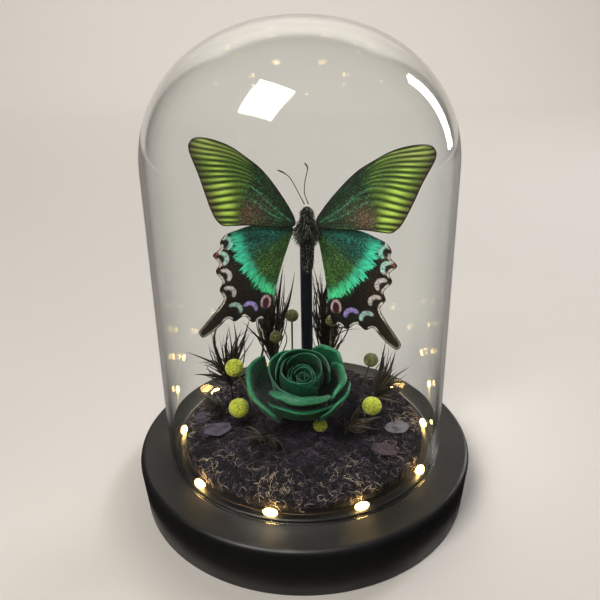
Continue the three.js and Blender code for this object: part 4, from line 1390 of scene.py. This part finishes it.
def button_material(dull):
    # A dried button flower: hundreds of tiny florets in a ball, yellow-green, with painted shade in the gaps
    # between the florets.
    name = "dull button" if dull else "yellow button"
    made, tree, shader = material(name, Roughness=0.85, Sheen_Weight=0.2)
    here = add(tree, "TexCoord", output="Object")
    pit = add(tree, "Attribute", output="Fac", attribute_name="floret")
    cloud = add(tree, "TexNoise", Vector=here, Scale=1 / (3.33 * MM), Detail=3.0, Roughness=0.55)
    # The darker copy is painted shade for the heads further back.
    head = linear("#5c5f2a") if dull else tint("button")
    shaded = linear("#23240f") if dull else linear("#5a6412")
    warm = add(tree, "MixRGB", add(tree, "MapRange", cloud, 0.35, 0.7, 0.0, 0.5, **SOFT), head, shaded)
    # Painted shade: darker between the florets, where the relief is low.
    tone = add(tree, "MixRGB", add(tree, "MapRange", pit, 0.0, 0.7, **SOFT), shaded, warm)
    tree.links.new(tone, shader.inputs["Base Color"])
    relief = add(tree, "TexNoise", Vector=here, Scale=1 / (0.417 * MM), Detail=2.0, Roughness=0.55)
    tree.links.new(add(tree, "Bump", Height=relief, Distance=0.2 * MM), shader.inputs["Normal"])
    return made


def build_buttons():
    finishes = {dull: button_material(dull) for dull in (False, True)}
    for i, (centre, radius, foot) in enumerate(BUTTONS):
        florets = int(FLORETS * radius**2)
        ball, ball_faces, height = button_head(radius, florets)
        ball = ball * (1, 1, 0.92) + np.array(centre)
        route = smooth_curve([(*foot, STALK_FOOT), (*foot, MOSS_CROWN + 1.5), centre], 8)
        stalk, stalk_faces = tube(route, BUTTON_STALK, 8)
        points, faces = join([(ball, ball_faces), (stalk, stalk_faces)])
        floret = np.concatenate([height, np.full(len(stalk), 0.15)])
        node = f"button_flower_{i + 1}"
        finish = finishes[i in BUTTONS_IN_PAINTED_SHADE]
        place(f"{node}_florets", points, faces, finish, "button", [node], attributes={"floret": floret})


# ---------------------------------------------------------------- narrow leaves
# For each sprig: where its stalk stands in the moss, the stalk's top, and the tips of the long leaves.
SPRIGS = [
    (
        (-32, 10),
        (-33.5, 9.5, 50),
        [
            (-40, 6, 73),
            (-35.5, 9, 76),
            (-30.5, 12, 75.5),
            (-51.5, 6, 63),
            (-48, 2, 54),
            (-27, 12, 71),
            (-23, 14, 76),
            (-19, 15, 72),
        ],
    ),
    (
        (-14, 24),
        (-14, 24, 60),
        [(-22, 20, 78), (-18, 24, 84), (-13, 26, 90), (-8, 24, 96), (-27, 19, 71), (-3, 26, 92)],
    ),
    ((12, 27), (11, 26, 60), [(5, 25, 96), (9, 26, 100), (14, 24, 95), (20, 21, 84), (24, 20, 76)]),
    (
        (33, 4),
        (32, 2, 45),
        [(45, -2, 48), (47, 2, 56), (44, -6, 42), (41, 6, 62), (37, 9, 66), (48, 6, 45)],
    ),
    (
        (18, -14),
        (19, -14.5, 38),
        [(23, -22, 40), (30, -20, 39), (33, -16, 42), (17, -23, 38), (24, -13, 47)],
    ),
    (
        (-17, -19),
        (-17, -19.5, 36),
        [(-24, -18, 40), (-26, -24, 38), (-18, -28, 39), (-10, -27, 39), (-8, -33, 37)],
    ),
    ((-36, 2), (-36.5, 1, 38), [(-47, -2, 42), (-49, 4, 44), (-44, 9, 42), (-45, -8, 40), (-38, -6, 44)]),
]
# For each sprig: fine leaves to each long one, the share of the stalk that they start on, and how far they
# stray in mm.
EXTRA_LEAVES = (8, 20, 20, 12, 12, 12, 12)
LOWEST_LEAF = (0.3, 0.55, 0.55, 0.3, 0.3, 0.3, 0.3)
LOOSE = (1.2, 3.2, 3.2, 1.0, 1.0, 1.0, 1.0)
# The higher, the fewer blades of the sprig have turned brown.
AGEING = (8, 8, 6, 2, 2, 3, 4)


def needle_leaf():
    # Dried needle leaf, dyed black-green: a thin leathery blade with a soft shine, brown where it is old.
    made, tree, shader = material("dark needle leaf", Roughness=0.48)
    here = add(tree, "TexCoord", output="Object")
    cloud = add(tree, "TexNoise", Vector=here, Scale=1 / (6.25 * MM), Detail=3.0, Roughness=0.55)
    cloud = add(tree, "MapRange", cloud, 0.4, 0.75, **SOFT)
    tone = add(tree, "MixRGB", cloud, tint("leaf"), linear("#1f2416"))
    age = add(tree, "Attribute", output="Fac", attribute_name="age")
    tone = add(tree, "MixRGB", age, tone, linear("#4a3b2c"))
    tree.links.new(tone, shader.inputs["Base Color"])
    return made


def build_sprigs():
    rng = np.random.default_rng(23)
    blade = needle_leaf()
    steps = 12
    share = np.linspace(0, 1, steps)
    for i, (foot, head, tips) in enumerate(SPRIGS):
        root, crown = np.array((*foot, STALK_FOOT)), np.array(head, float)
        paths, widths = [], []
        for k in range(len(tips) * (1 + EXTRA_LEAVES[i])):
            first = np.array(tips[k % len(tips)], float)
            second = np.array(tips[(k + 1) % len(tips)], float)
            main = k < len(tips)
            mix = 0 if main else rng.uniform(0, 0.8)
            tip = first * (1 - mix) + second * mix
            start = crown + (root - crown) * rng.uniform(0.02, LOWEST_LEAF[i])
            if not main:
                tip = start + (tip - start) * rng.uniform(0.45, 0.95) + rng.normal(0, LOOSE[i], 3)
            span = np.linalg.norm(tip - start)
            bend = rng.normal(0, 0.08, 3) * span + np.array((0, 0, 0.05 * span))
            path = start + (tip - start) * share[:, None] + bend * (np.sin(share * math.pi))[:, None]
            paths.append(path)
            width = size("needle_width") * (1.15 if main else rng.uniform(0.35, 0.8))
            widths.append(width * np.interp(share, [0, 0.25, 0.6, 1], [0.45, 1, 0.85, 0.06]))
        blades = strands(np.array(paths), np.array(widths), sides=4)
        stalk = tube(np.linspace(root, crown, 8), np.linspace(0.55, 0.35, 8), 8)
        points, faces = join([blades, stalk])
        age = np.zeros(len(points))
        age[: len(blades[0])] = np.repeat(rng.uniform(0, 1, len(paths)) ** AGEING[i], 4 * steps)
        node = f"leaf_sprig_{i + 1}"
        place(f"{node}_blades", points, faces, blade, "leaf", [node], attributes={"age": age})


# ---------------------------------------------------------------- dried petals
# Place, heading in degrees, length, width and colour.
DRIED_PETALS = [
    ((-37.5, -11), 20, 12, 10, "#4b4254"), ((-45.5, 1), 80, 9, 8, "#3c3345"),
    ((33, -26), -30, 11, 8, "#38202a"), ((40.5, -10), 15, 11, 8.5, "#57555a"),
]


# Height of their middles over the bed, and their thickness, in mm.
DRIED_LIFT = 2.2
DRIED_THICKNESS = 0.3


def dried_paper(name, value):
    # A dried flower petal: papery, matt and faded, with a wrinkled face.
    made, tree, shader = material(name, Roughness=0.7)
    here = add(tree, "TexCoord", output="Object")
    cloud = add(tree, "TexNoise", Vector=here, Scale=1 / (3.85 * MM), Detail=4.0, Roughness=0.55)
    cloud = add(tree, "MapRange", cloud, 0.3, 0.62, **SOFT)
    tone = add(tree, "MixRGB", cloud, linear("#1e1824"), linear(value))
    tree.links.new(tone, shader.inputs["Base Color"])
    wrinkle = add(tree, "TexNoise", Vector=here, Scale=1 / (1.11 * MM), Detail=4.0, Roughness=0.55)
    tree.links.new(add(tree, "Bump", Height=wrinkle, Distance=0.4 * MM), shader.inputs["Normal"])
    return made


def build_dried_petals():
    for i, (at, heading, long, wide, value) in enumerate(DRIED_PETALS):
        rows, columns = 28, 24
        t, s = np.meshgrid(np.linspace(0, 1, rows), np.linspace(-1, 1, columns), indexing="ij")
        along = (t - 0.5) * long
        half = wide / 2 * (0.35 + 0.65 * np.sin(t * math.pi))
        crumple = 0.4 * np.sin(s * 5 + t * 4 + i) * np.sin(t * 8 + 2 * i)
        height = 0.5 * s**2 + 0.012 * along**2 + crumple
        turn = math.radians(heading)
        x = along * math.cos(turn) - s * half * math.sin(turn) + at[0]
        y = along * math.sin(turn) + s * half * math.cos(turn) + at[1]
        lift = moss_height(np.array(at[0]), np.array(at[1])) + DRIED_LIFT
        surface = np.stack([x, y, height + lift], 2)
        thickness = np.full(surface.shape[:2], DRIED_THICKNESS)
        points, faces = sheet(surface, grid_normals(surface), thickness)
        paper = dried_paper(f"dried petal {i + 1}", value)
        node = f"dried_petal_{i + 1}"
        place(f"{node}_leaf", points, faces, paper, "dried_petal", [node])


# ---------------------------------------------------------------- string of lights
LIGHT_RING = 55.3
LIGHT_HEIGHT = 25.7
BEAD_AZIMUTHS = (-139, -104, -67.5, -33, 3, 38, 73, 108, 143, 179)
WIRE_RADIUS = 0.24
# How far the wire sways in and out, in mm, and how often in a turn.
WIRE_SWAY = 0.12
SWAYS = 23
# Half the size of a drop, out from the ring, upright and along the wire.
BEAD_HALF = (1.4, 1.4, 2.9)


def copper_wire():
    # Lacquered copper wire: a thin warm metal with sharp glints.
    made, _, _ = material("copper wire", Base_Color=linear("#5a4636"), Metallic=1.0, Roughness=0.35)
    return made


def glowing_drop():
    # Warm white chip in a drop of clear epoxy: the whole drop glows a creamy yellow.
    made, _, _ = material(
        "glowing epoxy drop",
        Base_Color=linear("#fff3d6"),
        Roughness=0.2,
        Emission_Color=tint("light"),
        Emission_Strength=70.0,
    )
    return made


def build_lights():
    angles = np.radians(np.linspace(-170, 178, 240))
    wave = WIRE_SWAY * np.sin(angles * SWAYS)
    ring = np.stack([(LIGHT_RING + wave) * np.cos(angles), (LIGHT_RING + wave) * np.sin(angles)], 1)
    path = np.column_stack([ring, np.full(len(angles), LIGHT_HEIGHT)])
    place("light_string_wire", *tube(path, WIRE_RADIUS, 8), copper_wire(), "wire", ["light_wire"])
    glow = glowing_drop()
    for k, azimuth in enumerate(BEAD_AZIMUTHS):
        section = [(math.sin(a), -math.cos(a)) for a in np.linspace(0, math.pi, 17)]
        section[0], section[-1] = (0, -1), (0, 1)
        drop, faces = lathe(section, 24)
        drop = drop * BEAD_HALF
        turn = math.radians(azimuth)
        out = np.array((math.cos(turn), math.sin(turn), 0))
        along = np.array((-math.sin(turn), math.cos(turn), 0))
        upright = np.array((0, 0, 1.0))
        points = drop[:, :1] * out + drop[:, 1:2] * upright + drop[:, 2:] * along
        points = points + out * LIGHT_RING + upright * LIGHT_HEIGHT
        node = f"light_bead_{k + 1}"
        place(f"{node}_drop", points, faces, glow, "bead", [node])


# ---------------------------------------------------------------- stage
# The camera's place in metres, tilts in radians, and the focal length as a share of the frame's width.
CAMERA = {
    "at": (-0.000836, -0.260499, 0.206343),
    "down": 0.422,
    "roll": -0.018,
    "focal_share": 687.8 / 600,
}
SENSOR = 36
# The card's inner and outer radius and its height over the floor, in mm.
CARD_REACH = (74, 1300)
CARD_HEIGHT = 0.4


def lamp(name, at, target, width, height, power, tone, mirrored=True):
    """A soft rectangular lamp that looks at a point. Glass and gloss mirror it unless told not to."""
    data = bpy.data.lights.new(name, "AREA")
    data.shape = "RECTANGLE"
    data.size = width
    data.size_y = height
    data.energy = power
    data.color = linear(tone)[:3]
    box = bpy.data.objects.new(name, data)
    box.location = at
    box.rotation_euler = (Vector(target) - Vector(at)).to_track_quat("-Z", "Y").to_euler()
    box.visible_glossy = mirrored
    box.visible_transmission = mirrored
    bpy.context.scene.collection.objects.link(box)
    return box


def straight_look(tree):
    """1 on a line of sight that nothing has reflected or scattered, though it may pass through glass."""
    path = add(tree, "LightPath").node
    turns = add(tree, "Math", path.outputs["Diffuse Depth"], path.outputs["Glossy Depth"])
    return add(tree, "Math", turns, 0.5, operation="LESS_THAN")


def build_floor():
    """A pale sheet of paper that runs back and curves up."""
    # Matt coloured studio paper: no shine and no grain at this distance.
    pale, _, _ = material("pale studio sweep", Base_Color=linear("#d8d4cf"), Roughness=0.8)
    depth, rise, bend = 1.6, 2.2, 0.5
    line = [(-1.0, 0.0), (-0.4, 0.0), (0.4, 0.0), (0.9, 0.0)]
    for angle in np.linspace(0, math.pi / 2, 16):
        line.append((depth - bend + bend * math.sin(angle), bend * (1 - math.cos(angle))))
    line.append((depth, rise))
    points = np.array([(x, y, z) for y, z in line for x in (-1.3, 1.3)]) / MM
    place("studio_sweep", points, strip_faces(len(line)), pale)


def strip_faces(rungs):
    """Faces of a strip whose points come in pairs."""
    return [(2 * k, 2 * k + 1, 2 * k + 3, 2 * k + 2) for k in range(rungs - 1)]


def build_air():
    """A world that is pale where it is looked at, straight or through the glass, and dim as a light."""
    world = bpy.data.worlds.new("studio air")
    world.use_nodes = True
    air = world.node_tree.nodes["Background"]
    air.inputs["Color"].default_value = linear("#e9e6e2")
    straight = straight_look(world.node_tree)
    strength = add(world.node_tree, "MapRange", straight, 0.0, 1.0, 0.05, 0.78, **SOFT)
    world.node_tree.links.new(strength, air.inputs["Strength"])
    bpy.context.scene.world = world


def build_card():
    """A black card round the base that only reflections see, so that the glass has no veil."""
    # Black velvet card: it gives back next to nothing. It is grey behind the bell.
    velvet, tree, black = material("black card", Roughness=0.9)
    rear = add(tree, "Attribute", output="Fac", attribute_name="rear")
    cloth = add(tree, "MixRGB", rear, linear("#050505"), linear("#8a8784"))
    tree.links.new(cloth, black.inputs["Base Color"])
    clear = add(tree, "BsdfTransparent")
    seen = add(tree, "MixShader", straight_look(tree), black.outputs[0], clear)
    tree.links.new(seen, tree.nodes["Material Output"].inputs["Surface"])
    turns = np.linspace(-90, 270, 121)
    corners = []
    for turn in np.radians(turns):
        for reach in CARD_REACH:
            corners.append((reach * math.cos(turn), reach * math.sin(turn), CARD_HEIGHT))
    greyed = np.repeat(step(14, 34, turns) * step(166, 146, turns), 2)
    card = place(
        "black_card", corners, strip_faces(len(turns)), velvet, smooth=False, attributes={"rear": greyed}
    )
    card.visible_camera = False
    card.visible_diffuse = False
    card.visible_shadow = False


def build_lamps():
    """Three soft lamps that light the object, and two that only make highlights on the glass."""
    centre = (0, 0, 0.1)
    softbox = lamp("overhead softbox", (-0.27, -0.31, 0.9), centre, 0.34, 0.4, 10.0, "#fffaf2")
    strip = lamp("right strip", (0.85, 0.62, 0.42), centre, 0.12, 0.7, 4.0, "#fbf6ee")
    for glint in (softbox, strip):
        glint.visible_diffuse = False
    lamp("back light", (0, 1.0, 1.6), (0, 1.8, 1.0), 2.6, 1.0, 28.0, "#fdf9f4", mirrored=False)
    lamp("left key", (-0.5, -0.75, 1.05), (0, 0, 0.09), 0.5, 0.5, 14.0, "#fffaf2", mirrored=False)
    lamp("right rim", (0.6, 0.4, 0.9), (0, 0, 0.08), 0.3, 0.3, 4.5, "#f6f6fa", mirrored=False)


def build_camera():
    """The camera, its view transform and its exposure."""
    scene = bpy.context.scene
    camera = bpy.data.cameras.new("camera")
    camera.sensor_width = SENSOR
    camera.lens = SENSOR * CAMERA["focal_share"]
    camera.clip_start = 0.01
    eye = bpy.data.objects.new("camera", camera)
    turn = Matrix.Rotation(math.pi / 2 - CAMERA["down"], 4, "X") @ Matrix.Rotation(CAMERA["roll"], 4, "Z")
    eye.matrix_world = Matrix.Translation(CAMERA["at"]) @ turn
    scene.collection.objects.link(eye)
    scene.camera = eye
    scene.view_settings.view_transform = "Standard"
    scene.view_settings.exposure = 0.0


# ---------------------------------------------------------------- buttons in the sidebar
class BELL_OT_base(bpy.types.Operator):
    """Builds the base with its battery cover and screw"""

    bl_idname = "bell.base"
    bl_label = "Base"

    def execute(self, context):
        build_base()
        return {"FINISHED"}


class BELL_OT_moss(bpy.types.Operator):
    """Builds the moss bed and its fibres"""

    bl_idname = "bell.moss"
    bl_label = "Moss"

    def execute(self, context):
        build_moss()
        return {"FINISHED"}


class BELL_OT_post(bpy.types.Operator):
    """Builds the post"""

    bl_idname = "bell.post"
    bl_label = "Post"

    def execute(self, context):
        build_post()
        return {"FINISHED"}


class BELL_OT_body(bpy.types.Operator):
    """Builds the body and the antennae"""

    bl_idname = "bell.body"
    bl_label = "Butterfly body"

    def execute(self, context):
        build_body()
        build_antennae()
        return {"FINISHED"}


class BELL_OT_wings(bpy.types.Operator):
    """Builds the four wings"""

    bl_idname = "bell.wings"
    bl_label = "Wings"

    def execute(self, context):
        build_wings()
        return {"FINISHED"}


class BELL_OT_rose(bpy.types.Operator):
    """Builds the rose and its stem"""

    bl_idname = "bell.rose"
    bl_label = "Rose"

    def execute(self, context):
        build_rose()
        return {"FINISHED"}


class BELL_OT_buttons(bpy.types.Operator):
    """Builds the button flowers"""

    bl_idname = "bell.buttons"
    bl_label = "Button flowers"

    def execute(self, context):
        build_buttons()
        return {"FINISHED"}


class BELL_OT_sprigs(bpy.types.Operator):
    """Builds the sprigs of narrow leaves"""

    bl_idname = "bell.sprigs"
    bl_label = "Leaves"

    def execute(self, context):
        build_sprigs()
        return {"FINISHED"}


class BELL_OT_dried_petals(bpy.types.Operator):
    """Builds the loose dried petals"""

    bl_idname = "bell.dried_petals"
    bl_label = "Dried petals"

    def execute(self, context):
        build_dried_petals()
        return {"FINISHED"}


class BELL_OT_lights(bpy.types.Operator):
    """Builds the wire and its bead lights"""

    bl_idname = "bell.lights"
    bl_label = "Lights"

    def execute(self, context):
        build_lights()
        return {"FINISHED"}


class BELL_OT_dome(bpy.types.Operator):
    """Builds the glass bell"""

    bl_idname = "bell.dome"
    bl_label = "Glass bell"

    def execute(self, context):
        build_bell()
        return {"FINISHED"}


class BELL_OT_stage(bpy.types.Operator):
    """Builds the floor, the lamps and the camera"""

    bl_idname = "bell.stage"
    bl_label = "Stage"

    def execute(self, context):
        build_floor()
        build_air()
        build_lamps()
        build_card()
        build_camera()
        return {"FINISHED"}


OPERATORS = (
    BELL_OT_base,
    BELL_OT_moss,
    BELL_OT_post,
    BELL_OT_body,
    BELL_OT_wings,
    BELL_OT_rose,
    BELL_OT_buttons,
    BELL_OT_sprigs,
    BELL_OT_dried_petals,
    BELL_OT_lights,
    BELL_OT_dome,
    BELL_OT_stage,
)


class BELL_PT_panel(bpy.types.Panel):
    """Sizes, colours and one button for each group of pieces"""

    bl_label = "Glass bell"
    bl_idname = "BELL_PT_panel"
    bl_space_type = "VIEW_3D"
    bl_region_type = "UI"
    bl_category = "Glass Bell"

    def draw(self, context):
        for settings in (context.scene.bell_sizes, context.scene.bell_colours):
            for key in settings.bl_rna.properties.keys():
                if key not in {"rna_type", "name"}:
                    self.layout.prop(settings, key)
        for made in OPERATORS:
            self.layout.operator(made.bl_idname)


CLASSES = (BellSizes, BellColours, *OPERATORS, BELL_PT_panel)


def register():
    for made in CLASSES:
        bpy.utils.register_class(made)
    bpy.types.Scene.bell_sizes = bpy.props.PointerProperty(type=BellSizes)
    bpy.types.Scene.bell_colours = bpy.props.PointerProperty(type=BellColours)


def unregister():
    del bpy.types.Scene.bell_colours
    del bpy.types.Scene.bell_sizes
    for made in reversed(CLASSES):
        bpy.utils.unregister_class(made)


def main():
    register()
    bpy.ops.bell.base()
    bpy.ops.bell.moss()
    bpy.ops.bell.post()
    bpy.ops.bell.body()
    bpy.ops.bell.wings()
    bpy.ops.bell.rose()
    bpy.ops.bell.buttons()
    bpy.ops.bell.sprigs()
    bpy.ops.bell.dried_petals()
    bpy.ops.bell.lights()
    bpy.ops.bell.dome()
    bpy.ops.bell.stage()
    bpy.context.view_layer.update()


if __name__ == "__main__":
    main()
